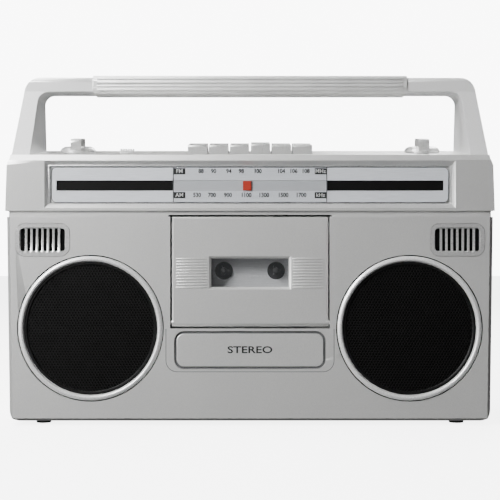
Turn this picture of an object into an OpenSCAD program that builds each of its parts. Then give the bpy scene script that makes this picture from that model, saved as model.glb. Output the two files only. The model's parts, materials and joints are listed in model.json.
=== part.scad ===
// Portable radio cassette player: a wide cabinet with two loudspeakers, a cassette
// compartment, a tuning dial, piano keys and knobs on a sloping deck, and a fixed carrying
// handle. X runs to the right, Y runs to the back and Z runs up. The origin is the middle
// of the footprint, on the surface that the feet stand on.

/* [Cabinet] */
// Width over the widest part of the cabinet
body_w = 392; // [370:2:470]
// Depth from the proud front trim to the back
body_d = 120; // [112:1:150]
// Height of the lower cabinet, from its floor to the groove
lower_h = 164; // [160:1:200]
// Height of the groove between lower and upper cabinet
band_h = 4.8; // [3:0.1:8]
// Depth of that groove
band_in = 2.3; // [1:0.1:2.4]
// Height of the upper cabinet's front, from the groove to its chamfer
upper_h = 40.6; // [39:0.2:60]
// Height of the chamfer along the top front edge
lip_h = 4.5; // [2:0.1:7]
// Thickness of every cabinet wall
wall = 2.6; // [2.4:0.1:3.4]
// How far the trim and the speaker rings stand in front of the face
trim_proud = 2; // [1.8:0.1:4]
// Slope of the control deck, in degrees
deck_tilt = 6.1; // [3:0.1:7]
// How far each side leans out from the floor to the groove
side_lean = 2.2; // [0:0.1:4]
// How far each upper side leans in from the groove to the deck
upper_lean = 1.2; // [0:0.1:3]
// Radius of the lower cabinet's bottom corners
corner_r = 9; // [5:0.5:12]
// Width of the front edge chamfer, across the face
edge_w = 3.6; // [1:0.1:5]
// Depth of the front edge chamfer, along the side
edge_d = 6.5; // [3:0.1:9]
// Height of one horizontal side groove
rib_groove_h = 3.5; // [2:0.1:5]
// Depth of the side grooves
rib_groove_in = 0.6; // [0.3:0.05:0.9]
// Spacing of the side grooves
rib_pitch = 14.6; // [10:0.2:18]

/* [Feet and screws] */
// Height of a foot below the cabinet
foot_h = 3; // [2:0.1:6]
// Radius of a foot
foot_r = 6; // [5:0.5:9]
// Distance of the feet from the centre, left and right
foot_x = 168; // [150:1:174]
// Radius of a case screw's shank
screw_r = 1.5; // [1.2:0.1:2]
// Radius of a case screw's head
screw_head_r = 3; // [2.5:0.1:3.6]

/* [Handle] */
// Height of the handle's top above the feet
handle_top = 284.4; // [270:0.2:320]
// Thickness of the handle's bar
handle_bar = 12; // [10:0.5:20]
// Front-to-back size of a handle leg at its foot
handle_foot_d = 96; // [80:1:98]
// Front-to-back size of the handle's bar
handle_bar_d = 34; // [26:1:50]
// Thickness of a handle leg, left to right
handle_leg = 13.6; // [10:0.2:18]
// How far a leg leans in from its foot to the top
handle_lean = 5.6; // [0:0.2:10]
// Radius of the handle's outer corners
handle_r = 14; // [12:0.5:20]
// Half length of the grip on the bar
grip_half = 131; // [90:1:140]
// Thickness of the grip around the bar
grip_t = 1.5; // [1:0.1:3]
// How deep the grip's seat is sunk into the bar
grip_sink = 0.6; // [0.3:0.1:1]

/* [Loudspeakers] */
// Distance of a speaker's centre from the middle
speaker_x = 127.7; // [124:0.1:132]
// Height of a speaker's centre above the feet
speaker_z = 77.7; // [70:0.1:95]
// Radius of the round grille
grille_r = 53.6; // [45:0.1:55]
// Width of the ring around the grille
ring_w = 4.2; // [3:0.1:5]
// Width of the groove around the ring
ring_gap = 1; // [0.6:0.1:1.6]
// Thickness of the grille sheet
grille_t = 1; // [0.8:0.1:1.4]
// Radius of a loudspeaker's magnet
magnet_r = 26; // [20:1:32]

/* [Cassette compartment] */
// Half width of the cassette door
door_half = 62.4; // [60:0.1:64]
// Height of the cassette door
door_h = 88; // [86:0.1:90]
// Gap around the door
door_gap = 1.5; // [1:0.1:2]
// Thickness of the door panel
door_t = 3.2; // [3:0.1:4]
// Half width of the door's window
window_half = 31; // [24:0.5:36]
// Height of the door's window
window_h = 22.8; // [16:0.2:26]
// Height of the reel hubs above the feet
hub_z = 123.6; // [122:0.1:126]
// Distance between the two reel hubs
hub_pitch = 42.5; // [42.5:0.1:42.6]
// Width of a cassette
cassette_w = 100.4; // [100.4:0.1:100.8]
// Distance from the hubs to the cassette's lower edge
cassette_drop = 29.1; // [29:0.1:29.4]
// Height of a cassette
cassette_h = 63.8; // [63.8:0.1:64.2]
// Space left around a cassette in its holder
cassette_gap = 0.8; // [0.5:0.1:1.2]
// Travel of the head carriage
head_travel = 7.5; // [6:0.1:8]

/* [Keys, knobs and dial] */
// Number of piano keys
key_count = 6; // [6:1:6]
// Spacing of the keys
key_pitch = 17.2; // [16:0.1:19]
// Width of one key
key_w = 15.8; // [12:0.1:15.8]
// Length of a key's cap, front to back
key_l = 38; // [30:1:40]
// Height of a key's cap above the deck, at its front
key_rise = 7.2; // [6:0.2:10]
// Radius of the rod that the keys turn on
rod_r = 2; // [1.5:0.1:2.5]
// Distance of each knob from the middle
knob_x = 144; // [120:1:156]
// Radius of a knob's skirt
knob_r = 14.7; // [10:0.1:17]
// Height of a knob
knob_h = 11.8; // [9:0.2:16]
// Radius of the knobs' spindles
spindle_r = 3; // [2.5:0.1:4]
// Radius at which the cord runs on the tuning drum
cord_run_r = 12.7; // [10:0.1:15]
// Radius of the dial cord
cord_r = 0.4; // [0.3:0.05:0.6]
// Half width of the dial plate
dial_half = 159.4; // [140:0.2:164]
// Half width of the scale in the middle of the dial
scale_half = 61.3; // [55:0.1:70]
// Height of the black slots and of the pointer's track
slot_h = 8.4; // [6:0.1:12]

/* [Battery compartment and aerial] */
// Half width of the battery compartment
battery_half = 80; // [78:1:90]
// Height of the battery compartment
battery_h = 56; // [54:1:64]
// Depth of the battery compartment
battery_d = 28; // [27:0.5:34]
// Radius of the aerial's outer tube
aerial_r = 3.2; // [2.6:0.1:4]
// Wall of each aerial tube
aerial_wall = 0.6; // [0.4:0.05:0.8]
// Length of the aerial's outer tube
aerial_l = 170; // [120:1:220]

/* [Clearances] */
// Space between faces that move past each other
slide_gap = 0.4; // [0.3:0.05:0.6]
// Radial space of a shaft in its bore
run_gap = 0.05; // [0.02:0.01:0.1]

/* [Hidden] */
$fn = 48;

// Main planes of the cabinet
face_y = -body_d / 2 + trim_proud;
back_y = body_d / 2;
inner_face_y = face_y + wall;
split_y = 2;
floor_z = foot_h;
lower_top = floor_z + lower_h;
band_top = lower_top + band_h;
upper_top = band_top + upper_h;
lip_z = upper_top + lip_h;
half_top = body_w / 2;
half_groove = half_top - 0.4;
half_floor = half_groove - side_lean;
half_deck = half_top - upper_lean;
hair = 0.01;
past = 1;

// A height on the outer side wall and the half width there
function side_at(z) = half_floor + side_lean * (z - floor_z) / lower_h;

// Deck plane: its height at a distance y
lip_y = face_y + lip_h;
function deck_z(y) = lip_z + (y - lip_y) * tan(deck_tilt);

// Handle, centred a little behind the middle of the cabinet
handle_y = 2;
handle_foot_z = upper_top + 1.4;
handle_foot_y = handle_y - handle_foot_d / 2;
handle_half = half_deck - 1.2;

// Points of the inclined seam between the handle's halves
seam_foot_y = handle_y + 16;
seam_top_y = handle_y - 8;

// Aerial, on a ledge behind the deck
ledge_y = back_y - 13;
aerial_y = back_y - 6;
aerial_z = lip_z + 3;
ledge_z = aerial_z - 7;
aerial_x = knob_x + 6;

// A flat outline in X and Z, given its thickness from y0 to y1
module along_y(y0, y1) {
    translate([0, y1, 0]) rotate([90, 0, 0]) linear_extrude(y1 - y0) children();
}

// A flat outline in Y and Z, given its thickness from x0 to x1
module along_x(x0, x1) {
    translate([x0, 0, 0]) rotate([90, 0, 90]) linear_extrude(x1 - x0) children();
}

// A block between two opposite corners
module block(low, high) {
    translate(low) cube(high - low);
}

// A round bar from a to b
module bar(a, b, r) {
    span = b - a;
    length = norm(span);
    turn = atan2(span[1], span[0]);
    tip = acos(span[2] / length);
    translate(a) rotate([0, tip, turn]) cylinder(h = length, r = r);
}

// A round bar along Y at (x, z)
module bar_y(x, z, y0, y1, r) {
    translate([x, y0, z]) rotate([-90, 0, 0]) cylinder(h = y1 - y0, r = r);
}

// A turned shape about the Y axis: the outline's x is the radius, its y runs to the back
module turned_y(x, z) {
    translate([x, 0, z]) rotate([-90, 0, 0]) rotate_extrude() children();
}

// Both sides of the cabinet
module both_sides() {
    children();
    mirror([1, 0, 0]) children();
}

// A rectangle in X and Z, from its corners
module plan(x0, z0, x1, z1) {
    translate([x0, z0]) square([x1 - x0, z1 - z0]);
}

// The same with rounded corners
module rounded_plan(x0, z0, x1, z1, r) {
    plan(x0 + r, z0, x1 - r, z1);
    plan(x0, z0 + r, x1, z1 - r);
    for (x = [x0 + r, x1 - r], z = [z0 + r, z1 - r]) translate([x, z]) circle(r = r);
}

// ---- Cabinet shells ----

// Outline of the lower cabinet, moved in by inset, up to height top
module lower_outline(inset, top) {
    low = floor_z + inset;
    foot = half_floor - inset;
    r = max(corner_r - inset, 1);
    upper = side_at(lower_top) - inset;
    polygon([
        [-foot + r, low], [foot - r, low], [foot, low + r],
        [upper, top], [-upper, top], [-foot, low + r]
    ]);
    for (s = [-1, 1]) translate([s * (foot - r), low + r]) circle(r = r);
}

// The lower cabinet's walls between two depths, with the recessed neck on top
module lower_walls(y0, y1) {
    neck_half = half_groove - band_in;
    difference() {
        union() {
            along_y(y0, y1) lower_outline(0, lower_top);
            block([-neck_half, max(y0, face_y + band_in), lower_top - wall],
                [neck_half, min(y1, back_y - band_in), band_top]);
        }
        along_y(y0 - past, y1 + past) difference() {
            lower_outline(wall, lower_top - wall - 1);
            plan(-body_w, lower_top - wall - 1, body_w, band_top);
        }
        block([-neck_half + wall, y0 - past, lower_top - wall - 2],
            [neck_half - wall, y1 + past, band_top + past]);
    }
}

// Wedges that cut the chamfer along the front edges
module front_edge_cuts() {
    slope = edge_d / edge_w;
    low_edge = 2.7;
    low_slope = low_edge / edge_d;
    both_sides() translate([half_floor, face_y, floor_z])
        rotate([0, atan(side_lean / lower_h), 0]) translate([0, 0, -past])
        linear_extrude(lower_h + past * 3) polygon([
            [-edge_w - past / slope, -past], [past * 2, edge_d + past * 2 * slope],
            [past * 2, -past]
        ]);
    along_x(-half_top, half_top) polygon([
        [face_y - past, floor_z + low_edge + past * low_slope],
        [face_y + edge_d + past, floor_z - past * low_slope],
        [face_y - past, floor_z - past * low_slope]
    ]);
}

// Horizontal grooves along both sides
module side_grooves(y0, y1) {
    both_sides() for (i = [0 : 7])
        let (z = lower_top - 15.5 - rib_pitch * i)
        block([side_at(z) - rib_groove_in, y0, z - rib_groove_h / 2],
            [half_top + past, y1, z + rib_groove_h / 2]);
}

door_low = lower_top - door_h;
door_axis_y = face_y + door_t;
door_axis_z = door_low + door_t;
door_pin_r = 1.6;
bay_half = door_half + door_gap;
bay_wall = 2.4;
plate_y = face_y + 18.5;
plate_t = 1.5;
ring_r = grille_r + ring_w;
recess_r = ring_r + ring_gap;
recess_d = 1.8;
backing_d = 5;
cone_hole_r = grille_r - 1.4;
vent_x = 166;
vent_z = 148.6;
vent_half = 22;
vent_half_h = 13.4;
vent_r = 8;
name_half = 60.8;
name_low = 45;
name_h = 30.6;
name_r = 8;
screw_x = half_floor - 20;
screw_zs = [floor_z + 24, lower_top - 22];
boss_r = screw_head_r + 1.2;

// Outline of a vent: an oblong with a round outer end
module vent_outline(grow) {
    x = vent_half + grow;
    z = vent_half_h + grow;
    rounded_plan(-x, -z, x, z, vent_r + grow);
}

// Outline of the nameplate's recess, moved in by inset
module name_outline(inset) {
    x = name_half - inset;
    rounded_plan(-x, name_low + inset, x, name_low + name_h - inset, name_r - inset);
}

// Front half of the lower cabinet, with the openings for what sits in its face
module front_cabinet() {
    color([0.75, 0.75, 0.74])
    difference() {
        union() {
            difference() {
                union() {
                    lower_walls(face_y, split_y);
                    along_y(face_y, inner_face_y) lower_outline(0, lower_top);
                    along_y(inner_face_y - hair, face_y + edge_d) difference() {
                        lower_outline(wall / 2, lower_top - wall / 2);
                        lower_outline(wall * 2, lower_top - wall * 2);
                    }
                }
                front_edge_cuts();
                side_grooves(face_y + edge_d, split_y + past);
            }
            block([-half_groove + band_in, face_y + band_in, lower_top - wall],
                [half_groove - band_in, face_y + band_in + wall, band_top]);
            for (s = [-1, 1]) bar_y(s * speaker_x, speaker_z,
                inner_face_y - hair, face_y + backing_d, recess_r + 2);
            both_sides() block([bay_half, inner_face_y - hair, door_low - 2],
                [bay_half + bay_wall, plate_y, band_top]);
            block([-bay_half - bay_wall, inner_face_y - hair, door_low - door_gap - 2],
                [bay_half + bay_wall, plate_y, door_low - door_gap]);
            both_sides() for (z = screw_zs)
                bar_y(screw_x, z, inner_face_y - hair, split_y, boss_r);
            along_y(inner_face_y - hair, inner_face_y + 2) name_outline(-2);
        }
        for (s = [-1, 1]) {
            bar_y(s * speaker_x, speaker_z, face_y - past, face_y + recess_d, recess_r);
            bar_y(s * speaker_x, speaker_z, face_y, face_y + backing_d + past, cone_hole_r);
            translate([s * vent_x, 0, vent_z]) mirror([s < 0 ? 1 : 0, 0, 0])
                along_y(face_y - past, inner_face_y + past) vent_outline(0);
        }
        block([-bay_half, face_y - past, door_low - door_gap],
            [bay_half, inner_face_y + hair, band_top - 3.2]);
        block([-bay_half, inner_face_y, door_low - door_gap],
            [bay_half, plate_y + past, band_top + past]);
        along_y(face_y - past, face_y + 2.4) name_outline(0);
        both_sides() bar([bay_half - past, door_axis_y, door_axis_z],
            [bay_half + bay_wall + past, door_axis_y, door_axis_z], door_pin_r + run_gap);
        both_sides() for (z = screw_zs)
            bar_y(screw_x, z, split_y - 16, split_y + past, screw_r);
    }
}

battery_low = floor_z + 6;
bay_t = 1.8;
flap_gap = 0.8;
flap_t = 2.2;
flap_barrel_r = 2;
flap_pin_r = 1.2;
flap_y = back_y - 2.4;
flap_z = battery_low + flap_gap + flap_barrel_r;
inlet_x = 122;
inlet_z = 34;
inlet_half = 13;
inlet_half_h = 9;

// Rear half of the lower cabinet, with the battery compartment
module rear_cabinet() {
    neck_half = half_groove - band_in;
    color([0.72, 0.72, 0.71])
    difference() {
        union() {
            difference() {
                lower_walls(split_y, back_y);
                side_grooves(split_y - past, back_y - edge_d);
            }
            along_y(back_y - wall, back_y) lower_outline(wall / 2, lower_top);
            block([-neck_half, back_y - band_in - wall, lower_top - wall],
                [neck_half, back_y - band_in, band_top]);
            block([-battery_half - bay_t, back_y - wall - battery_d, battery_low - bay_t],
                [battery_half + bay_t, back_y, battery_low + battery_h + bay_t]);
            both_sides() for (z = screw_zs)
                bar_y(screw_x, z, split_y, back_y - wall + hair, boss_r);
        }
        block([-battery_half, back_y - wall - battery_d + bay_t, battery_low],
            [battery_half, back_y + past, battery_low + battery_h]);
        both_sides() bar([battery_half - past, flap_y, flap_z],
            [battery_half + bay_t * 0.7, flap_y, flap_z], flap_pin_r + run_gap);
        block([inlet_x - inlet_half, back_y - wall - past, inlet_z - inlet_half_h],
            [inlet_x + inlet_half, back_y + past, inlet_z + inlet_half_h]);
        both_sides() for (z = screw_zs) {
            bar_y(screw_x, z, split_y - past, back_y + past, screw_r + 0.2);
            bar_y(screw_x, z, split_y + 14, back_y + past, screw_head_r + 0.3);
        }
        // Slots that let the transformer's warmth out
        for (i = [0 : 9]) block([98 + i * 5, back_y - wall - past, 70],
            [100.4 + i * 5, back_y + past, 96]);
    }
}

dial_low = band_top + 2.6;
dial_high = upper_top - 0.8;
dial_edge = 3;
dial_in_low = dial_low + dial_edge;
dial_in_high = dial_high - dial_edge;
recess_half = 164.2;
tray_half = recess_half - 2.4;
tray_y = face_y + dial_edge;
tray_depth = 3.4;
track_z = (dial_in_low + dial_in_high) / 2 - 1;
slit_h = 1.5;
track_low = track_z - slot_h / 2;
track_high = track_z + slot_h / 2;
key_front_y = face_y + 23;
key_back_y = key_front_y + key_l;
key_x0 = -(key_count - 1) * key_pitch / 2;
keys_half = (key_count - 1) * key_pitch / 2 + key_w / 2;
key_gap = 1.3;
knob_y = face_y + 50;
slider_x = -101;
slider_y = face_y + 30;
slider_travel = 6;
slider_half = 5.6;
rod_y = face_y + 85;
rod_z = upper_top + 0.6;
carrier_front = tray_y + tray_depth + 1.6 + slide_gap;
cord_y = carrier_front + 1.4 + slide_gap + cord_r;
carrier_z = track_high - slit_h / 2;
cord_left = -76;
cord_right = 112;
cord_gap = 3.2;
cord_z = carrier_z;
back_run_y = cord_y + cord_gap;
return_right = cord_right - 6;

// Outline of the upper cabinet as seen from the front
module upper_outline(inset) {
    x = half_top - inset;
    polygon([
        [-x, band_top], [x, band_top], [half_deck - inset, upper_top - 4],
        [half_deck - 2.2 - inset, upper_top + 1.4], [half_deck - 2.2 - inset, lip_z + 20],
        [-half_deck + 2.2 + inset, lip_z + 20], [-half_deck + 2.2 + inset, upper_top + 1.4],
        [-half_deck + inset, upper_top - 4]
    ]);
}

deck_half = handle_half - handle_leg - 2;

// Outline of the shoulders that the handle stands on, seen from the side
module shoulder_profile(inset) {
    f = face_y + inset;
    z = handle_foot_z - inset;
    y = handle_foot_y - 0.4 - inset;
    polygon([
        [f, band_top], [f, upper_top], [lip_y + inset * 0.4, lip_z - inset],
        [y, deck_z(y) - inset], [y, z], [ledge_y - inset, z],
        [ledge_y - inset, ledge_z - inset], [back_y - inset, ledge_z - inset],
        [back_y - inset, band_top]
    ]);
}

// Outline of the upper cabinet as seen from the side, moved in by inset
module upper_profile(inset) {
    f = face_y + inset;
    polygon([
        [f, band_top], [f, upper_top], [lip_y + inset * 0.4, lip_z - inset],
        [ledge_y - inset, deck_z(ledge_y) - inset * 1.02], [ledge_y - inset, ledge_z - inset],
        [back_y - inset, ledge_z - inset], [back_y - inset, band_top]
    ]);
}

// A block that lies along the sloping deck, from dz0 below its surface to dz1 above
module deck_block(x0, x1, y0, y1, dz0, dz1) {
    along_x(x0, x1) polygon([
        [y0, deck_z(y0) + dz0], [y1, deck_z(y1) + dz0],
        [y1, deck_z(y1) + dz1], [y0, deck_z(y0) + dz1]
    ]);
}

// Places its children on the deck at (x, y), turned so that Z stands square on it
module on_deck(x, y) {
    translate([x, y, deck_z(y)]) rotate([deck_tilt, 0, 0]) children();
}

// Upper cabinet: dial recess in front, deck on top, a ledge for the aerial behind
module top_cabinet() {
    flange = band_in + wall + 1.2;
    color([0.76, 0.76, 0.75])
    difference() {
        union() {
            difference() {
                intersection() {
                    along_y(face_y, back_y) upper_outline(0);
                    union() {
                        along_x(-half_top, half_top) shoulder_profile(0);
                        along_x(-deck_half, deck_half) upper_profile(0);
                    }
                }
                intersection() {
                    along_y(face_y, back_y) upper_outline(wall);
                    union() {
                        along_x(-half_top, half_top) shoulder_profile(wall);
                        along_x(-deck_half + wall, deck_half - wall) upper_profile(wall);
                    }
                    block([-body_w, -body_d, band_top + 2], [body_w, body_d, body_w]);
                }
                block([-half_top + flange, face_y + flange, band_top - past],
                    [half_top - flange, back_y - flange, band_top + 3]);
            }
            block([-recess_half - 2, inner_face_y - hair, dial_low - 0.2],
                [recess_half + 2, tray_y + tray_depth + 1.6, dial_high - 1.8]);
            bar([aerial_x, aerial_y, ledge_z - 12],
                [aerial_x, aerial_y, ledge_z - wall + hair], 5);
            // Pegs that turn the dial cord
            for (x = [cord_left, return_right + 2]) {
                block([x - 3, tray_y + tray_depth + 1.6 - hair, cord_z - 5],
                    [x + 3, cord_y + cord_gap / 2 + 2, cord_z - 3]);
                translate([x, cord_y + cord_gap / 2, cord_z - 3 - hair])
                    cylinder(h = 6, r = cord_gap / 2 - cord_r - 0.3);
            }
            // Brackets that hold the key rod
            both_sides() along_x(keys_half + 3, keys_half + 7) polygon([
                [rod_y - 6, deck_z(rod_y - 6) - wall / 2], [rod_y + 6, deck_z(rod_y + 6) - wall / 2],
                [rod_y + 6, rod_z - 6], [rod_y - 6, rod_z - 6]
            ]);
        }
        bar([-keys_half - 8, rod_y, rod_z], [keys_half + 8, rod_y, rod_z], rod_r);
        // Dial recess: a frame-shaped slope down to the tray's pocket
        hull() {
            along_y(face_y - past, face_y - past / 2)
                plan(-recess_half - 0.8, dial_low - 0.9, recess_half + 0.8, dial_high + 0.6);
            along_y(tray_y, tray_y + hair) plan(-tray_half, dial_in_low, tray_half, dial_in_high);
        }
        along_y(face_y, tray_y + tray_depth)
            plan(-tray_half, dial_in_low, tray_half, dial_in_high);
        // Slit that the pointer's arm passes through
        block([-scale_half, face_y, track_high - slit_h], [scale_half, tray_y + 9, track_high]);
        // Opening for the keys
        block([-keys_half - key_gap, key_front_y - key_gap, upper_top],
            [keys_half + key_gap, key_back_y + key_gap, lip_z + 20]);
        for (s = [-1, 1]) on_deck(s * knob_x, knob_y)
            translate([0, 0, -6]) cylinder(h = 12, r = spindle_r + 0.5);
        deck_block(slider_x - slider_travel - 2.4, slider_x + slider_travel + 2.4,
            slider_y - 1.6, slider_y + 1.6, -6, 6);
        bar([aerial_x, aerial_y, ledge_z - 14], [aerial_x, aerial_y, ledge_z + past],
            2.5 + run_gap);
    }
}

// ---- Handle ----

handle_in_top = handle_half - handle_lean - handle_leg + 1.8;
handle_in_foot = handle_half - handle_leg - 1;
bar_low = handle_top - handle_bar;
inner_r = 9;

// Outline of the handle as seen from the front: an upturned U with leaning legs
module handle_outline() {
    top_half = handle_half - handle_lean;
    difference() {
        union() {
            polygon([
                [-handle_half, handle_foot_z], [handle_half, handle_foot_z],
                [top_half, handle_top - handle_r], [top_half - handle_r, handle_top],
                [-top_half + handle_r, handle_top], [-top_half, handle_top - handle_r]
            ]);
            for (s = [-1, 1]) translate([s * (top_half - handle_r), handle_top - handle_r])
                circle(r = handle_r);
        }
        polygon([
            [-handle_in_foot, handle_foot_z - past], [handle_in_foot, handle_foot_z - past],
            [handle_in_top, bar_low - inner_r], [handle_in_top - inner_r, bar_low],
            [-handle_in_top + inner_r, bar_low], [-handle_in_top, bar_low - inner_r]
        ]);
        for (s = [-1, 1]) translate([s * (handle_in_top - inner_r), bar_low - inner_r])
            circle(r = inner_r);
    }
}

// Outline of the handle as seen from the side, with a round-edged bar on top
module handle_side() {
    r = 4;
    foot = handle_foot_d / 2;
    head = handle_bar_d / 2;
    polygon([
        [handle_y - foot, handle_foot_z], [handle_y + foot, handle_foot_z],
        [handle_y + head, bar_low], [handle_y + head, handle_top - r],
        [handle_y + head - r, handle_top], [handle_y - head + r, handle_top],
        [handle_y - head, handle_top - r], [handle_y - head, bar_low]
    ]);
    for (s = [-1, 1]) translate([handle_y + s * (head - r), handle_top - r]) circle(r = r);
}

// The whole handle
module handle_body() {
    intersection() {
        along_y(-body_d / 2, body_d / 2) handle_outline();
        along_x(-half_top, half_top) handle_side();
    }
}

// The part of space in front of (side -1) or behind (side 1) the handle's inclined seam
module seam_side(side) {
    far = side * body_d;
    low = handle_foot_z - 10;
    high = handle_top + 10;
    slope = (seam_top_y - seam_foot_y) / (handle_top - handle_foot_z);
    y_low = seam_foot_y - 10 * slope;
    y_high = seam_top_y + 10 * slope;
    along_x(-half_top - past, half_top + past)
        polygon([[y_low, low], [y_high, high], [far, high], [far, low]]);
}

grip_low = bar_low - grip_t;
grip_high = handle_top + grip_t;
grip_head = handle_bar_d / 2 + grip_t;

// Section of the grip as seen from the side, moved in by inset
module grip_outline(inset) {
    r = 5 - inset;
    y = grip_head - inset;
    low = grip_low + inset;
    high = grip_high - inset;
    polygon([
        [handle_y - y, low + r], [handle_y - y + r, low], [handle_y + y - r, low],
        [handle_y + y, low + r], [handle_y + y, high - r], [handle_y + y - r, high],
        [handle_y - y + r, high], [handle_y - y, high - r]
    ]);
    for (s = [-1, 1], z = [low + r, high - r]) translate([handle_y + s * (y - r), z]) circle(r = r);
}

// Front half of the handle
module handle_front() {
    color([0.93, 0.93, 0.92]) difference() {
        intersection() { handle_body(); seam_side(-1); }
        grip_space();
    }
}

// Rear half of the handle
module handle_rear() {
    color([0.9, 0.9, 0.89]) difference() {
        intersection() { handle_body(); seam_side(1); }
        grip_space();
    }
}

// Seat of the grip, sunk into the bar all round
module grip_space() {
    difference() {
        block([-grip_half, -body_d, grip_low - past], [grip_half, body_d, grip_high + past]);
        along_x(-grip_half - past, grip_half + past) grip_outline(grip_t + grip_sink);
    }
}

// Grip sleeve around the bar
module handle_grip() {
    color([0.86, 0.86, 0.85]) along_x(-grip_half, grip_half) difference() {
        grip_outline(0);
        grip_outline(grip_t + grip_sink);
    }
}

// ---- Dial ----

plate_inset = 0.8;
plate_front = tray_y + 0.4;
dial_plate_t = 1.6;
plate_low = dial_in_low + plate_inset + 0.2;
plate_high = dial_in_high - plate_inset - 0.8;
plate_r = 4;
pocket_floor = plate_front + 1;

// Black tray that holds the dial plate; its floor shows through the plate's side slots
module dial_tray() {
    floor_y = plate_front + dial_plate_t;
    color([0.07, 0.07, 0.07]) difference() {
        along_y(tray_y, tray_y + tray_depth) plan(-tray_half, dial_in_low, tray_half, dial_in_high);
        along_y(tray_y - past, floor_y)
            plan(-tray_half + 1, dial_in_low + 0.3, tray_half - 1, dial_in_high - 0.8);
        block([-scale_half, floor_y - past, track_high - slit_h],
            [scale_half, tray_y + tray_depth + past, track_high]);
    }
}

// Rounded outline of the dial plate
module dial_plate_outline() {
    difference() {
        union() {
            plan(-dial_half + plate_r, plate_low, dial_half - plate_r, plate_high);
            plan(-dial_half, plate_low + plate_r, dial_half, plate_high - plate_r);
            for (x = [-1, 1], z = [plate_low + plate_r, plate_high - plate_r])
                translate([x * (dial_half - plate_r), z]) circle(r = plate_r);
        }
        for (s = [-1, 1]) plan(s * (dial_half - 4) - 0.01, track_low, s * scale_half, track_high);
    }
}

// Silvery dial plate with two long slots and the pointer's track
module dial_plate() {
    color([0.8, 0.81, 0.83]) difference() {
        along_y(plate_front, plate_front + dial_plate_t) difference() {
            dial_plate_outline();
        }
        both_sides() block([scale_half + 0.6, plate_front - past, track_low],
            [dial_half - 4, plate_front + past * 3, track_high]);
        block([-scale_half + 0.4, plate_front - past, track_low],
            [scale_half - 0.4, pocket_floor, track_high]);
        block([-scale_half + 3, plate_front - past, track_high - slit_h],
            [scale_half - 3, plate_front + past * 3, track_high]);
    }
}

lens_t = 0.8;
lens_front = face_y + 0.9;
lens_foot = 1;

// Clear window over the scale, standing on two end ribs
module dial_window() {
    color([0.9, 0.95, 1, 0.3]) difference() {
        block([-scale_half - lens_foot - 0.4, lens_front, plate_low + 0.3],
            [scale_half + lens_foot + 0.4, plate_front, plate_high - 0.3]);
        block([-scale_half - 0.4, lens_front + lens_t, plate_low - past],
            [scale_half + 0.4, plate_front + past, plate_high + past]);
        both_sides() block([scale_half + 0.6, lens_front + lens_t + 1, track_low],
            [scale_half + 4, plate_front + past, track_high]);
    }
}

pointer_w = 6.7;
pointer_x = -2.3;

// Red pointer with its arm and the carrier that the cord pulls
module dial_pointer() {
    color([0.78, 0.2, 0.1]) {
        block([pointer_x - pointer_w / 2, lens_front + lens_t + 0.3, track_low + slide_gap],
            [pointer_x + pointer_w / 2, pocket_floor - 0.3, track_high - slide_gap]);
        block([pointer_x - 2.5, pocket_floor - 0.3 - hair, track_high - slit_h + slide_gap],
            [pointer_x + 2.5, carrier_front + hair, track_high - slide_gap]);
        block([pointer_x - 5, carrier_front, carrier_z - 5],
            [pointer_x + 5, carrier_front + 1.4, carrier_z + 3]);
    }
}

// Raised nameplate below the door
module nameplate() {
    color([0.77, 0.77, 0.76]) {
        along_y(face_y + 0.2, face_y + 2.4) name_outline(2.2);
        along_y(face_y + 1.8, face_y + 2.4) name_outline(0.3);
    }
}

// ---- Loudspeakers and vents ----

// Bevelled ring around a grille
module grille_ring(side) {
    color([0.85, 0.85, 0.84]) turned_y(side * speaker_x, speaker_z) polygon([
        [grille_r + 0.2, face_y + recess_d], [grille_r + 0.2, face_y - 0.2],
        [grille_r + 1, face_y - 0.8], [grille_r + ring_w * 0.45, face_y - 1.2],
        [ring_r, face_y - 0.2], [ring_r, face_y + recess_d]
    ]);
}

// Black grille sheet, slightly crowned
module grille(side) {
    low = face_y + recess_d - grille_t;
    color([0.06, 0.06, 0.06]) turned_y(side * speaker_x, speaker_z) polygon([
        [0, low - 0.9], [grille_r * 0.7, low - 0.5], [grille_r, low],
        [grille_r, low + grille_t], [cone_hole_r - 2, low + grille_t],
        [grille_r * 0.7, low + grille_t - 0.5], [0, low + grille_t - 0.9]
    ]);
}

frame_y = face_y + backing_d;
basket_d = 26;
magnet_d = 14;

// Steel basket with its magnet
module speaker_frame(side) {
    color([0.25, 0.25, 0.26]) turned_y(side * speaker_x, speaker_z) polygon([
        [cone_hole_r - 3, frame_y], [recess_r, frame_y], [recess_r, frame_y + 2],
        [cone_hole_r - 1, frame_y + 2], [magnet_r - 4, frame_y + basket_d],
        [magnet_r, frame_y + basket_d], [magnet_r, frame_y + basket_d + magnet_d],
        [0, frame_y + basket_d + magnet_d], [0, frame_y + basket_d - 2],
        [magnet_r - 6, frame_y + basket_d - 2], [cone_hole_r - 3, frame_y + 2]
    ]);
}

// Paper cone with its dust cap
module speaker_cone(side) {
    rim = cone_hole_r - 3.4;
    color([0.1, 0.1, 0.1]) turned_y(side * speaker_x, speaker_z) polygon([
        [rim, frame_y], [rim, frame_y + 1.2], [13, frame_y + 17], [12, frame_y + 18],
        [0, frame_y + 13], [0, frame_y + 12], [12, frame_y + 16], [rim - 3, frame_y]
    ]);
}

vent_slats = 7;
vent_rim = 3.6;

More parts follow.
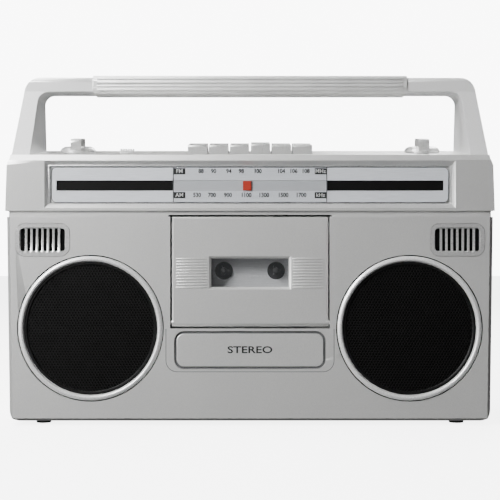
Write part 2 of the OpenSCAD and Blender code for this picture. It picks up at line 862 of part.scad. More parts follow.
// Louvred vent that clips into the face above a speaker
module vent(side) {
    inner_half_h = vent_half_h - vent_rim;
    pitch = (vent_half - vent_rim) * 2 / (vent_slats + 1.4);
    color([0.8, 0.8, 0.79])
    translate([side * vent_x, 0, vent_z]) mirror([side < 0 ? 1 : 0, 0, 0]) {
        difference() {
            along_y(face_y - 0.4, inner_face_y) vent_outline(-0.3);
            along_y(face_y - past, inner_face_y + past) vent_outline(-vent_rim);
        }
        for (i = [0 : vent_slats - 1])
            block([(i - (vent_slats - 1) / 2) * pitch - 0.9, face_y + 0.2, -inner_half_h - 0.2],
                [(i - (vent_slats - 1) / 2) * pitch + 0.9, face_y + 2.2, inner_half_h + 0.2]);
        along_y(inner_face_y - 0.4, inner_face_y) vent_outline(-vent_rim + 0.2);
    }
}

// ---- Feet and screws ----

// Four rubber feet
module rubber_feet() {
    color([0.12, 0.12, 0.12]) for (x = [-1, 1], y = [-1, 1])
        translate([x * foot_x, y * (body_d / 2 - 22), 0]) {
            cylinder(h = foot_h, r = foot_r);
        }
}

// Screws that hold the two lower halves together
module case_screws() {
    color([0.6, 0.6, 0.6]) both_sides() for (z = screw_zs) {
        bar_y(screw_x, z, split_y - 10, split_y + 14.1, screw_r - 0.02);
        bar_y(screw_x, z, split_y + 14, split_y + 16.4, screw_head_r);
    }
}

// ---- Back: batteries, mains and electronics ----

cell_r = 13;

// Flap over the batteries, with a rounded lower edge around its hinge pins
module battery_door() {
    x = battery_half - flap_gap;
    color([0.72, 0.72, 0.71]) {
        block([-x, flap_y - 0.2, flap_z], [x, flap_y - 0.2 + flap_t, battery_low + battery_h - flap_gap]);
        bar([-x, flap_y, flap_z], [x, flap_y, flap_z], flap_barrel_r);
        both_sides() bar([x - hair, flap_y, flap_z],
            [battery_half + bay_t * 0.6, flap_y, flap_z], flap_pin_r);
    }
}

// Spring contacts on the compartment's end walls, one for each row of cells
module battery_contacts() {
    y = back_y - wall - battery_d / 2;
    color([0.8, 0.8, 0.78]) for (s = [-1, 1], row = [-1, 1])
        translate([s * battery_half, y, battery_low + battery_h / 2 + row * cell_r])
        rotate([0, -s * 90, 0]) {
            cylinder(h = 0.6, r = 9);
            rotate_extrude() for (turn = [0 : 2])
                translate([7.5 - turn * 2, 1.1 + turn * 1.1]) circle(r = 0.6, $fn = 16);
        }
}

// Outline of a figure-eight socket
module inlet_outline(half, r) {
    plan(-half + r, -r, half - r, r);
    for (s = [-1, 1]) translate([s * (half - r), 0]) circle(r = r);
}

// Mains inlet in the back wall
module mains_inlet() {
    color([0.08, 0.08, 0.08]) translate([inlet_x, 0, inlet_z]) {
        difference() {
            block([-inlet_half, back_y - 16, -inlet_half_h], [inlet_half, back_y, inlet_half_h]);
            along_y(back_y - 13, back_y + past) inlet_outline(8, 4);
        }
        for (s = [-1, 1]) bar_y(s * 3.6, 0, back_y - 13 - hair, back_y - 5.5, 1.1);
    }
}

board_z = battery_low + battery_h + bay_t;

// Main circuit board with its components, on top of the battery compartment
module main_board() {
    color([0.2, 0.4, 0.22]) {
        block([-78, 31, board_z], [78, 56, board_z + 1.6]);
        for (i = [0 : 5]) translate([-66 + i * 26, 46, board_z + 1.6 - hair])
            cylinder(h = 12, r = 4.5);
        for (i = [0 : 4]) block([-58 + i * 26, 34, board_z + 1.6 - hair],
            [-46 + i * 26, 40, board_z + 6]);
        block([60, 33, board_z + 1.6 - hair], [74, 39, board_z + 22]);
    }
}

// Mains transformer on the floor, behind the right loudspeaker
module power_transformer() {
    z = floor_z + wall;
    color([0.45, 0.4, 0.35]) {
        block([98, 6, z], [138, 34, z + 34]);
        block([104, 2.6, z + 6], [132, 37.4, z + 28]);
    }
}

// Ferrite rod with its coil and clips, across the back of the upper cabinet
module ferrite_aerial() {
    color([0.35, 0.3, 0.28]) {
        bar([-70, 38, 194], [70, 38, 194], 4.5);
        bar([20, 38, 194], [48, 38, 194], 5.6);
        both_sides() block([54, 31, 187.5], [60, back_y - wall, 200.5]);
    }
}

// ---- Knobs, tuning drive and switches ----

under_deck = -wall - 0.6;
drum_z = -15;
drum_half = 4;
spindle_end = -30;

// Knob: domed skirt, grip bar and spindle, with Z square on the deck
module knob(spindle_low) {
    bar_w = 8.8;
    bar_l = 28;
    top_r = 3;
    rotate_extrude() polygon([
        [0, slide_gap], [knob_r, slide_gap], [knob_r, 2], [knob_r - 1.4, 4],
        [knob_r - 4, 5.2], [0, 5.8]
    ]);
    intersection() {
        translate([-bar_w / 2, -bar_l / 2, 2]) cube([bar_w, bar_l, knob_h - 2]);
        along_x(-bar_w, bar_w) union() {
            polygon([
                [-bar_l / 2, 1], [bar_l / 2, 1], [bar_l / 2, knob_h - top_r],
                [bar_l / 2 - top_r, knob_h], [-bar_l / 2 + top_r, knob_h],
                [-bar_l / 2, knob_h - top_r]
            ]);
            for (s = [-1, 1]) translate([s * (bar_l / 2 - top_r), knob_h - top_r]) circle(r = top_r);
        }
    }
    translate([0, 0, spindle_low]) cylinder(h = 2 - spindle_low, r = spindle_r);
}

// Volume knob on the left
module volume_knob() {
    color([0.85, 0.85, 0.84]) on_deck(-knob_x, knob_y) knob(-14);
}

// Tuning knob on the right
module tuning_knob() {
    color([0.85, 0.85, 0.84]) on_deck(knob_x, knob_y) knob(spindle_end);
}

// Drum on the tuning spindle, with the cord's groove
module tuning_drum() {
    groove = cord_run_r - cord_r - 0.3;
    rim = cord_run_r + 1.6;
    bore = spindle_r + 0.02;
    color([0.9, 0.88, 0.82]) on_deck(knob_x, knob_y) rotate_extrude() polygon([
        [bore, drum_z - drum_half], [rim, drum_z - drum_half], [rim, drum_z - 2],
        [groove, drum_z - 1], [groove, drum_z + 1], [rim, drum_z + 2],
        [rim, drum_z + drum_half], [bore, drum_z + drum_half]
    ]);
}

// A control body hung from the deck by two posts, bored for a spindle
module hung_body(x, half, z0, z1) {
    on_deck(x, knob_y) difference() {
        union() {
            translate([-half, -half, z0]) cube([half * 2, half * 2, z1 - z0]);
            for (a = [0, 90]) rotate([0, 0, a]) {
                translate([half + 1, -3, z0]) cube([4, 6, under_deck - z0]);
                translate([0, -3, z0]) cube([half + 5, 6, 2]);
            }
        }
        translate([0, 0, z0 - past]) cylinder(h = z1 - z0 + past * 2, r = spindle_r + run_gap);
    }
}

// Volume control under the left knob
module volume_control() {
    color([0.3, 0.3, 0.32]) hung_body(-knob_x, 9, -15, -6);
}

// Tuning capacitor under the drum
module tuning_capacitor() {
    color([0.75, 0.75, 0.72]) hung_body(knob_x, 13.5, spindle_end - 1, -20.5);
}

// Sliding switch under the function slider
module function_switch() {
    reach = slider_travel + 2.4;
    color([0.3, 0.3, 0.32]) difference() {
        deck_block(slider_x - 13, slider_x + 13, slider_y - 4, slider_y + 4, -10, under_deck);
        deck_block(slider_x - reach, slider_x + reach, slider_y - 1.6, slider_y + 1.6, -8, 0);
    }
}

// Ribbed cap of the function slider, with its stem
module function_slider() {
    color([0.8, 0.8, 0.79]) {
        difference() {
            deck_block(slider_x - slider_half, slider_x + slider_half,
                slider_y - 4, slider_y + 4, slide_gap, 4);
            for (i = [-2 : 2]) deck_block(slider_x + i * 2 - 0.4, slider_x + i * 2 + 0.4,
                slider_y - 5, slider_y + 5, 3.2, 5);
        }
        deck_block(slider_x - 2, slider_x + 2, slider_y - 1.2, slider_y + 1.2, -6, slide_gap + hair);
    }
}

// A point on the cord's circle around the drum, at an angle in the drum's plane
function drum_point(a) = [
    knob_x + cord_run_r * cos(a),
    knob_y - drum_z * sin(deck_tilt) + cord_run_r * sin(a) * cos(deck_tilt),
    deck_z(knob_y) + drum_z * cos(deck_tilt) + cord_run_r * sin(a) * sin(deck_tilt)
];

// Angle at which a line from p (x, y) touches that circle, on one side or the other
function touch_angle(p, side) =
    let (c = [knob_x, knob_y - drum_z * sin(deck_tilt)])
    atan2(p[1] - c[1], p[0] - c[0]) + side * acos(cord_run_r / norm(p - c));

// Dial cord: one closed loop from the drum along the dial and back, swept as a tube
module dial_cord() {
    front = [cord_right, cord_y, cord_z];
    rear = [return_right, back_run_y, cord_z];
    a0 = touch_angle([front[0], front[1]], 1);
    a1 = touch_angle([rear[0], rear[1]], -1) + 360;
    left = [cord_left - cord_gap * 0.9, cord_y + cord_gap / 2, cord_z];
    arc_steps = 18;
    route = concat(
        [[cord_left, cord_y, cord_z], front],
        [for (i = [0 : arc_steps]) drum_point(a0 + (a1 - a0) * i / arc_steps)],
        [rear, [cord_left, back_run_y, cord_z], left]
    );
    color([0.15, 0.15, 0.12]) closed_tube(route, cord_r, 8);
}

// A closed tube along a nearly level loop of points
module closed_tube(route, r, sides) {
    n = len(route);
    rings = [
        for (i = [0 : n - 1])
        let (
            ahead = route[(i + 1) % n] - route[(i + n - 1) % n],
            along = ahead / norm(ahead),
            across = cross(along, [0, 0, 1]),
            side = across / norm(across),
            up = cross(side, along)
        )
        for (k = [0 : sides - 1])
        route[i] + r * cos(360 * k / sides) * side + r * sin(360 * k / sides) * up
    ];
    faces = [
        for (i = [0 : n - 1], k = [0 : sides - 1])
        let (
            a = i * sides + k,
            b = i * sides + (k + 1) % sides,
            c = ((i + 1) % n) * sides + (k + 1) % sides,
            d = ((i + 1) % n) * sides + k
        )
        each [[a, b, c], [a, c, d]]
    ];
    polyhedron(points = rings, faces = faces);
}

// ---- Cassette mechanism ----

spindle_hub_r = 6.85;
spindle_shaft_r = 1.5;
bridge_y = plate_y + 8;
gear_r = 13;
capstan_x = 25;
capstan_z = hub_z + 26;
capstan_r = 1;
wheel_y = bridge_y + 2;
wheel_t = 4.5;
wheel_r = 20;
motor_x = -30;
motor_z = capstan_z;
motor_y = wheel_y + 6.5;
motor_r = 13;
pulley_r = 4;
belt_t = 1;
post_r = 2.5;
post_xs = [-54, 54];
post_zs = [door_low + 8, band_top - 10];

// Steel plate behind the compartment, with a bridge that carries the rear bearings
module deck_plate() {
    half = bay_half + bay_wall;
    color([0.62, 0.64, 0.66]) difference() {
        union() {
            block([-half, plate_y, door_low - door_gap - 2], [half, plate_y + plate_t, band_top - 0.4]);
            block([-58, bridge_y, door_low + 2], [58, bridge_y + plate_t, band_top - 4]);
            for (x = post_xs, z = post_zs)
                bar_y(x, z, plate_y + plate_t - hair, bridge_y + hair, post_r);
            for (x = [motor_x - 10, motor_x + 10])
                bar_y(x, motor_z + 12, bridge_y + plate_t - hair, motor_y, 2);
            bar_y(motor_x, motor_z - 15.5, bridge_y + plate_t - hair, motor_y, 2);
            block([motor_x - 14, motor_y - 1.5, motor_z - 17.5],
                [motor_x + 14, motor_y, motor_z + 14]);
        }
        for (s = [-1, 1]) {
            bar_y(s * hub_pitch / 2, hub_z, plate_y - past, plate_y + 3, spindle_hub_r + slide_gap);
            bar_y(s * hub_pitch / 2, hub_z, bridge_y - past, bridge_y + 3,
                spindle_shaft_r + run_gap);
        }
        bar_y(capstan_x, capstan_z, plate_y - past, bridge_y + 3, capstan_r + run_gap);
        bar_y(motor_x, motor_z, motor_y - 3, motor_y + past, 4.5);
    }
}

// Reel spindle: crown in front, disc in the plate, gear behind
module spindle(side) {
    color([0.12, 0.12, 0.12]) translate([side * hub_pitch / 2, 0, hub_z]) {
        turned_y(0, 0) polygon([
            [0, plate_y - 9.5], [1, plate_y - 9.5], [2.6, plate_y - 7.5], [2.6, plate_y],
            [spindle_hub_r, plate_y], [spindle_hub_r, plate_y + plate_t],
            [4, plate_y + plate_t], [4, plate_y + 3], [gear_r, plate_y + 3],
            [gear_r, plate_y + 5.4], [spindle_shaft_r, plate_y + 5.4],
            [spindle_shaft_r, bridge_y + plate_t], [0, bridge_y + plate_t]
        ]);
        for (i = [0 : 2]) rotate([0, i * 120, 0])
            block([0, plate_y - 7.5, -0.6], [4.2, plate_y, 0.6]);
    }
}

// Flywheel with the capstan that draws the tape
module capstan_flywheel() {
    color([0.7, 0.6, 0.35]) turned_y(capstan_x, capstan_z) polygon([
        [0, plate_y - 10.4], [capstan_r, plate_y - 10.4], [capstan_r, wheel_y],
        [wheel_r, wheel_y], [wheel_r, wheel_y + wheel_t], [5, wheel_y + wheel_t],
        [5, wheel_y + wheel_t + 2], [0, wheel_y + wheel_t + 2]
    ]);
}

// Deck motor behind its bracket
module deck_motor() {
    color([0.7, 0.7, 0.7]) {
        bar_y(motor_x, motor_z, motor_y, motor_y + 24, motor_r);
        bar_y(motor_x, motor_z, motor_y + 24 - hair, motor_y + 26, 5);
    }
}

// Pulley on the motor's shaft
module motor_pulley() {
    color([0.75, 0.65, 0.35]) turned_y(motor_x, motor_z) polygon([
        [0, wheel_y + 0.3], [pulley_r + 0.2, wheel_y + 0.3], [pulley_r + 0.2, wheel_y + 4],
        [1, wheel_y + 4], [1, motor_y - 0.3], [0, motor_y - 0.3]
    ]);
}

// Outline of the belt's loop, grown by e around both wheels
module belt_outline(e) {
    span = capstan_x - motor_x;
    lean = acos((wheel_r - pulley_r) / span);
    big = wheel_r + e;
    small = pulley_r + e;
    translate([capstan_x, capstan_z]) circle(r = big);
    translate([motor_x, motor_z]) circle(r = small);
    polygon([
        [capstan_x - big * cos(lean), capstan_z + big * sin(lean)],
        [motor_x - small * cos(lean), motor_z + small * sin(lean)],
        [motor_x - small * cos(lean), motor_z - small * sin(lean)],
        [capstan_x - big * cos(lean), capstan_z - big * sin(lean)]
    ]);
}

// Flat rubber belt from the pulley to the flywheel
module drive_belt() {
    color([0.1, 0.1, 0.1]) along_y(wheel_y + 0.8, wheel_y + 3.6) difference() {
        belt_outline(0.5 + belt_t);
        belt_outline(0.5);
    }
}

head_low = capstan_z + 11.6;
roller_r = 6.4;
roller_z = capstan_z + capstan_r + roller_r + 0.5 + head_travel;
carriage_back = plate_y - slide_gap;
carriage_y = carriage_back - 1.5;
axle_r = 1.2;

// Sliding head carriage: record head, erase head and the pinch roller's axle
module head_carriage() {
    color([0.7, 0.72, 0.74]) {
        block([-38, carriage_y, head_low], [38, carriage_back, head_low + 16]);
        block([-6.5, carriage_y - 10, head_low], [6.5, carriage_y + hair, head_low + 9.5]);
        block([-21, carriage_y - 10, head_low + 1], [-13.5, carriage_y + hair, head_low + 10.5]);
        bar_y(capstan_x, roller_z, carriage_y - 10.2, carriage_y + hair, axle_r);
        bar_y(capstan_x, roller_z, carriage_y - 10.2, carriage_y - 9.4, 2);
    }
}

// Rubber pinch roller on the carriage's axle
module pinch_roller() {
    color([0.12, 0.12, 0.12]) bar_ring_y(capstan_x, roller_z,
        carriage_y - 9.1, carriage_y - 0.5, axle_r + run_gap, roller_r);
}

// A tube along Y at (x, z), from radius r0 to r1
module bar_ring_y(x, z, y0, y1, r0, r1) {
    turned_y(x, z) polygon([[r0, y0], [r1, y0], [r1, y1], [r0, y1]]);
}

// ---- Cassette door ----

door_back = face_y + door_t;
window_low = hub_z - 12.8;
window_edge = 2.4;
glass_t = 1.2;
glass_lap = 2.4;
holder_x = cassette_w / 2 + cassette_gap;
holder_low = hub_z - cassette_drop - cassette_gap;
holder_t = 1.4;
holder_back = plate_y - 1;
holder_top = holder_low + cassette_h * 0.985;
lip_in = 4.5;

// Door panel with its window, turning on two pins at its lower edge
module cassette_door() {
    bevel = 1.2;
    color([0.77, 0.77, 0.76]) {
        difference() {
            translate([0, 0, door_axis_z]) linear_extrude(door_low + door_h - door_axis_z) polygon([
                [-door_half, door_back], [-door_half, face_y + bevel],
                [-door_half + bevel, face_y], [door_half - bevel, face_y],
                [door_half, face_y + bevel], [door_half, door_back]
            ]);
            hull() {
                along_y(face_y - past, face_y - past + hair)
                    plan(-window_half - window_edge - 1, window_low - window_edge - 1,
                        window_half + window_edge + 1, window_low + window_h + window_edge + 1);
                along_y(door_back - glass_t - 0.6, door_back - glass_t - 0.6 + hair)
                    plan(-window_half, window_low, window_half, window_low + window_h);
            }
            block([-window_half, face_y, window_low], [window_half, door_back + past, window_low + window_h]);
            block([-window_half - glass_lap, door_back - glass_t, window_low - glass_lap],
                [window_half + glass_lap, door_back + past, window_low + window_h + glass_lap]);
            translate([0, face_y, door_low + door_h]) rotate([45, 0, 0])
                cube([door_half * 2 + 2, 1.6, 1.6], center = true);
        }
        bar([-door_half, door_axis_y, door_axis_z], [door_half, door_axis_y, door_axis_z], door_t);
        both_sides() bar([door_half - hair, door_axis_y, door_axis_z],
            [bay_half + bay_wall - 0.4, door_axis_y, door_axis_z], door_pin_r);
    }
}

// Clear pane in the door
module door_window() {
    color([0.6, 0.65, 0.7, 0.35]) block(
        [-window_half - glass_lap, door_back - glass_t, window_low - glass_lap],
        [window_half + glass_lap, door_back, window_low + window_h + glass_lap]);
}

// Frame behind the door that carries the cassette by its edges
module cassette_holder() {
    color([0.15, 0.15, 0.15]) {
        both_sides() {
            block([holder_x, door_back, holder_low - holder_t],
                [holder_x + holder_t, holder_back, holder_top]);
            block([holder_x - lip_in, holder_back - 1, holder_low - holder_t],
                [holder_x + holder_t, holder_back, holder_top]);
            block([holder_x - lip_in, door_back, holder_low - holder_t],
                [holder_x + holder_t, door_back + 1, holder_top]);
        }
        block([-holder_x - holder_t, door_back, holder_low - holder_t],
            [holder_x + holder_t, holder_back, holder_low]);
    }
}

// ---- Keys ----

lever_half = 4;
boss_out_r = 4.2;
tail_y = carriage_y + 0.5;

// Rod that the keys turn on
module key_rod() {
    color([0.75, 0.75, 0.77])
        bar([-keys_half - 7, rod_y, rod_z], [keys_half + 7, rod_y, rod_z], rod_r - 0.01);
}

// One piano key: cap, lever with a bored boss, and a tail that works the mechanism
module key(i) {
    x = key_x0 + i * key_pitch;
    extra = i == 3 ? 0.9 : 0;
    rise = key_rise + extra;
    front = key_front_y;
    bevel = 1.4;
    under = deck_z(front) - 10;
    color([0.8, 0.8, 0.79]) difference() {
        union() {
            intersection() {
                along_x(x - key_w / 2, x + key_w / 2) polygon([
                    [front, under], [key_back_y, under + 4],
                    [key_back_y, deck_z(key_back_y) + rise + 0.6],
                    [front + bevel, deck_z(front + bevel) + rise],
                    [front, deck_z(front) + rise - bevel]
                ]);
                along_y(front - past, key_back_y + past) polygon([
                    [x - key_w / 2, under - past], [x + key_w / 2, under - past],
                    [x + key_w / 2, deck_z(front) + rise - 1],
                    [x + key_w / 2 - 1.2, deck_z(front) + rise + 20],
                    [x - key_w / 2 + 1.2, deck_z(front) + rise + 20],
                    [x - key_w / 2, deck_z(front) + rise - 1]
                ]);
            }
            along_x(x - lever_half, x + lever_half) polygon([
                [front + 4, under], [rod_y, rod_z - boss_out_r], [rod_y, rod_z + boss_out_r],
                [key_back_y - 2, rod_z + boss_out_r], [key_back_y - 2, under + 5]
            ]);
            bar([x - lever_half, rod_y, rod_z], [x + lever_half, rod_y, rod_z], boss_out_r);
            block([x - 2, tail_y, under - 4], [x + 2, front + 8, under + hair]);
            block([x - 2, tail_y, head_low + 19], [x + 2, tail_y + 3, under - 4 + hair]);
        }
        bar([x - key_w, rod_y, rod_z], [x + key_w, rod_y, rod_z], rod_r + run_gap);
    }
}

// ---- Aerial ----

knuckle_r = 2.5;
tube_start = aerial_x - 7;
tube_end = tube_start - aerial_l;
tube_gap = run_gap;
middle_r = aerial_r - aerial_wall - tube_gap;
inner_tube_r = middle_r - aerial_wall - tube_gap;
ear_in = 1.5;
ear_out = 4.5;
pin_r = 1;

// Knuckle: turns in the ledge and holds the aerial's root between two ears
module aerial_knuckle() {
    foot = ledge_z + slide_gap;
    color([0.8, 0.8, 0.8]) {
        bar([aerial_x, aerial_y, ledge_z - 11], [aerial_x, aerial_y, foot + hair], knuckle_r);
        bar([aerial_x, aerial_y, foot], [aerial_x, aerial_y, foot + 1.8], 5.5);
        for (s = [-1, 1]) difference() {
            union() {
                block([aerial_x - 3.5, aerial_y + min(s * ear_in, s * ear_out), foot + 1.8 - hair],
                    [aerial_x + 3.5, aerial_y + max(s * ear_in, s * ear_out), aerial_z]);
                bar_y(aerial_x, aerial_z, aerial_y + min(s * ear_in, s * ear_out),
                    aerial_y + max(s * ear_in, s * ear_out), 3.5);
            }
        }
        bar_y(aerial_x, aerial_z, aerial_y - ear_out, aerial_y + ear_out, pin_r);
    }
}

// Outer tube with the flat root that the knuckle's pin passes through
module aerial_outer_tube() {
    root = ear_in - 0.35;
    color([0.85, 0.85, 0.87]) {
        difference() {
            bar([tube_end, aerial_y, aerial_z], [tube_start, aerial_y, aerial_z], aerial_r);
            bar([tube_end - past, aerial_y, aerial_z], [tube_start - 2.5, aerial_y, aerial_z],
                aerial_r - aerial_wall);
        }
        difference() {
            union() {
                block([tube_start - hair, aerial_y - root, aerial_z - 2.4],
                    [aerial_x, aerial_y + root, aerial_z + 2.4]);
                bar_y(aerial_x, aerial_z, aerial_y - root, aerial_y + root, 2.4);
            }
            bar_y(aerial_x, aerial_z, aerial_y - root - past, aerial_y + root + past, pin_r + run_gap);
        }
    }
}

// Middle tube
module aerial_middle_tube() {
    color([0.87, 0.87, 0.89]) difference() {
        bar([tube_end, aerial_y, aerial_z], [tube_start - 4, aerial_y, aerial_z], middle_r);
        bar([tube_end - past, aerial_y, aerial_z], [tube_start - 6, aerial_y, aerial_z],
            middle_r - aerial_wall);
    }
}

// Inner rod with its tip
module aerial_inner_tube() {
    color([0.9, 0.9, 0.92]) {
        bar([tube_end - 1, aerial_y, aerial_z], [tube_start - 8, aerial_y, aerial_z], inner_tube_r);
        bar([tube_end - 7, aerial_y, aerial_z], [tube_end - 0.5, aerial_y, aerial_z], aerial_r);
    }
}

// ---- What is drawn ----

front_cabinet();
rear_cabinet();
top_cabinet();
handle_front();
handle_rear();
handle_grip();
dial_tray();
dial_plate();
dial_window();
nameplate();
grille_ring(-1);  // left_grille_ring
grille_ring(1);  // right_grille_ring
grille(-1);  // left_grille
grille(1);  // right_grille
speaker_frame(-1);  // left_speaker_frame
speaker_frame(1);  // right_speaker_frame
speaker_cone(-1);  // left_speaker_cone
speaker_cone(1);  // right_speaker_cone
vent(-1);  // left_vent
vent(1);  // right_vent
rubber_feet();
case_screws();
battery_contacts();
battery_door();
mains_inlet();
main_board();
power_transformer();
ferrite_aerial();
tuning_capacitor();
volume_control();
function_switch();
dial_cord();
deck_plate();
deck_motor();
motor_pulley();
drive_belt();
capstan_flywheel();
spindle(-1);  // left_spindle
spindle(1);  // right_spindle
head_carriage();
pinch_roller();
key_rod();
cassette_door();
door_window();
cassette_holder();
key(0);  // key_record
key(1);  // key_play
key(2);  // key_rewind
key(3);  // key_fast_forward
key(4);  // key_stop
key(5);  // key_pause
volume_knob();
tuning_knob();
tuning_drum();
dial_pointer();
function_slider();
aerial_knuckle();
aerial_outer_tube();
aerial_middle_tube();
aerial_inner_tube();
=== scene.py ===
"""Looks of the portable radio cassette player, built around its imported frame."""
import json
import math

import bmesh
import bpy
from mathutils import Matrix, Vector


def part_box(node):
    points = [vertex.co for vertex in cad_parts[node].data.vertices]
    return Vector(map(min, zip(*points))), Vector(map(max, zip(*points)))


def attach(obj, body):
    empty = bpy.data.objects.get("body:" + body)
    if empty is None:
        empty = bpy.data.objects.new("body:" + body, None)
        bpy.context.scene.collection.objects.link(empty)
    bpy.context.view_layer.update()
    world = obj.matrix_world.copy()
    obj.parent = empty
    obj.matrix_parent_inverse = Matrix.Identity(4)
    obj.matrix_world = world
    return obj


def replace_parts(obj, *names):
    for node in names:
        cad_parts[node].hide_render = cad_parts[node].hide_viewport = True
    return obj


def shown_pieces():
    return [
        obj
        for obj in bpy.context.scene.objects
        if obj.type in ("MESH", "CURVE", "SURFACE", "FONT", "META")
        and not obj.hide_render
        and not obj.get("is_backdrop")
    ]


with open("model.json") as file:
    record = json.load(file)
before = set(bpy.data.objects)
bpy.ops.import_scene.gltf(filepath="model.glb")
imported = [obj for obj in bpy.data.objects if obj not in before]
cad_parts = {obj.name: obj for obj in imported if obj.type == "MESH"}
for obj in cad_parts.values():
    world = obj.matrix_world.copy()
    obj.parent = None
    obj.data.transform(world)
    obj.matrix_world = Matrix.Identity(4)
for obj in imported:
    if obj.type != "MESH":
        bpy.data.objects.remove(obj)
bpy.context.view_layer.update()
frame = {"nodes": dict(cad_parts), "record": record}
NODES = frame["nodes"]
BODY_OF = {n: b for b, ns in frame["record"]["behaviour"]["bodies"].items() for n in ns}
MM = 0.001
INK_THICKNESS = 0.00012
KEYS = ["record", "play", "rewind", "fast_forward", "stop", "pause"]

# ---- Camera, floor and light ----

EYE_DISTANCE = 1.05
EYE_HEIGHT = 0.1404
LENS = 94.5
MIDDLE = (0, 0, 0.14)
ROOM_HALF = 6.0
FLOOR_GLOW = 5.0
WALL_GLOW = 9.0


def low(node):
    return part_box(node)[0]


FACE_Y = low("front_cabinet").y


def add_camera():
    data = bpy.data.cameras.new("camera")
    data.lens = LENS
    camera = bpy.data.objects.new("camera", data)
    camera.location = (0, FACE_Y - EYE_DISTANCE, EYE_HEIGHT)
    camera.rotation_euler = (math.radians(90), 0, 0)
    bpy.context.scene.collection.objects.link(camera)
    bpy.context.scene.camera = camera


def add_light(name, size, watts, place):
    data = bpy.data.lights.new(name, "AREA")
    data.shape = "RECTANGLE"
    data.size, data.size_y = size
    data.energy = watts
    light = bpy.data.objects.new(name, data)
    light.location = place
    aim = Vector(MIDDLE) - Vector(place)
    light.rotation_euler = aim.to_track_quat("-Z", "Y").to_euler()
    bpy.context.scene.collection.objects.link(light)


def add_studio():
    """A floor, four walls and a soft key light from the upper left, with weaker ones around it."""
    add_light("key", (0.6, 0.6), 37, (-0.9, -1.05, 0.85))
    add_light("front", (0.7, 0.7), 9, (-1.3, -1.1, 0.25))
    add_light("top", (1.2, 0.5), 18, (-0.45, 0.15, 1.2))
    add_light("left_edge", (0.3, 0.3), 2.5, (-1.0, 0.1, 0.9))
    add_light("rear", (0.8, 0.8), 22, (0.5, 1.5, 1.3))
    world = bpy.data.worlds.new("studio")
    world.use_nodes = True
    background = world.node_tree.nodes["Background"]
    background.inputs["Color"].default_value = (1, 1, 1, 1)
    background.inputs["Strength"].default_value = 0.1
    bpy.context.scene.world = world

    r = ROOM_HALF
    add_sweep("floor", [(-r, -r, 0), (r, -r, 0), (r, r, 0), (-r, r, 0)], FLOOR_GLOW)
    corners = [(-r, r), (r, r), (r, -r), (-r, -r)]
    for i, name in enumerate(("back", "right", "near", "left")):
        (x0, y0), (x1, y1) = corners[i], corners[(i + 1) % 4]
        add_sweep(name + "_wall", [(x0, y0, 0), (x1, y1, 0), (x1, y1, r), (x0, y0, r)], WALL_GLOW)


def add_sweep(name, corners, glow):
    """One sheet of the white sweep. It is seen, but it throws no light back on the object."""
    mesh = bpy.data.meshes.new(name)
    mesh.from_pydata(corners, [], [(0, 1, 2, 3)])
    sheet = bpy.data.objects.new(name, mesh)
    bpy.context.scene.collection.objects.link(sheet)
    sheet.data.materials.append(glowing_white(name + "_white", glow))
    sheet.visible_diffuse = False
    sheet.visible_glossy = False
    sheet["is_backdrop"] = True


# ---- Materials ----


class Nodes:
    """A small helper that adds and links a material's nodes."""

    def __init__(self, name):
        self.material = bpy.data.materials.new(name)
        self.material.use_nodes = True
        self.tree = self.material.node_tree
        self.shader = self.tree.nodes["Principled BSDF"]
        self.coords = self.add("ShaderNodeTexCoord").outputs["Object"]

    def add(self, kind, **values):
        node = self.tree.nodes.new(kind)
        for key, value in values.items():
            setattr(node, key, value)
        return node

    def link(self, a, b):
        self.tree.links.new(a, b)

    def set(self, **values):
        for key, value in values.items():
            self.shader.inputs[key.replace("_", " ")].default_value = value

    def noise(self, scale, detail=2.0, stretch=(1, 1, 1)):
        spread = self.add("ShaderNodeMapping")
        spread.inputs["Scale"].default_value = stretch
        self.link(self.coords, spread.inputs["Vector"])
        noise = self.add("ShaderNodeTexNoise")
        noise.inputs["Scale"].default_value = scale
        noise.inputs["Detail"].default_value = detail
        self.link(spread.outputs["Vector"], noise.inputs["Vector"])
        return noise.outputs["Fac"]

    def ramp(self, value, stops):
        ramp = self.add("ShaderNodeValToRGB")
        elements = ramp.color_ramp.elements
        for i, (place, colour) in enumerate(stops):
            element = elements[i] if i < 2 else elements.new(place)
            element.position = place
            element.color = (*colour, 1)
        self.link(value, ramp.inputs["Fac"])
        return ramp.outputs["Color"]

    def level(self, value, bottom, top):
        span = self.add("ShaderNodeMapRange")
        span.inputs["From Min"].default_value = 0.3
        span.inputs["From Max"].default_value = 0.7
        span.inputs["To Min"].default_value = bottom
        span.inputs["To Max"].default_value = top
        self.link(value, span.inputs["Value"])
        return span.outputs["Result"]

    def bump(self, value, strength, distance):
        bump = self.add("ShaderNodeBump")
        bump.inputs["Strength"].default_value = strength
        bump.inputs["Distance"].default_value = distance
        self.link(value, bump.inputs["Height"])
        if self.shader.inputs["Normal"].links:
            self.link(self.shader.inputs["Normal"].links[0].from_socket, bump.inputs["Normal"])
        self.link(bump.outputs["Normal"], self.shader.inputs["Normal"])


def shade(colour, factor):
    return tuple(min(1.0, c * factor) for c in colour)


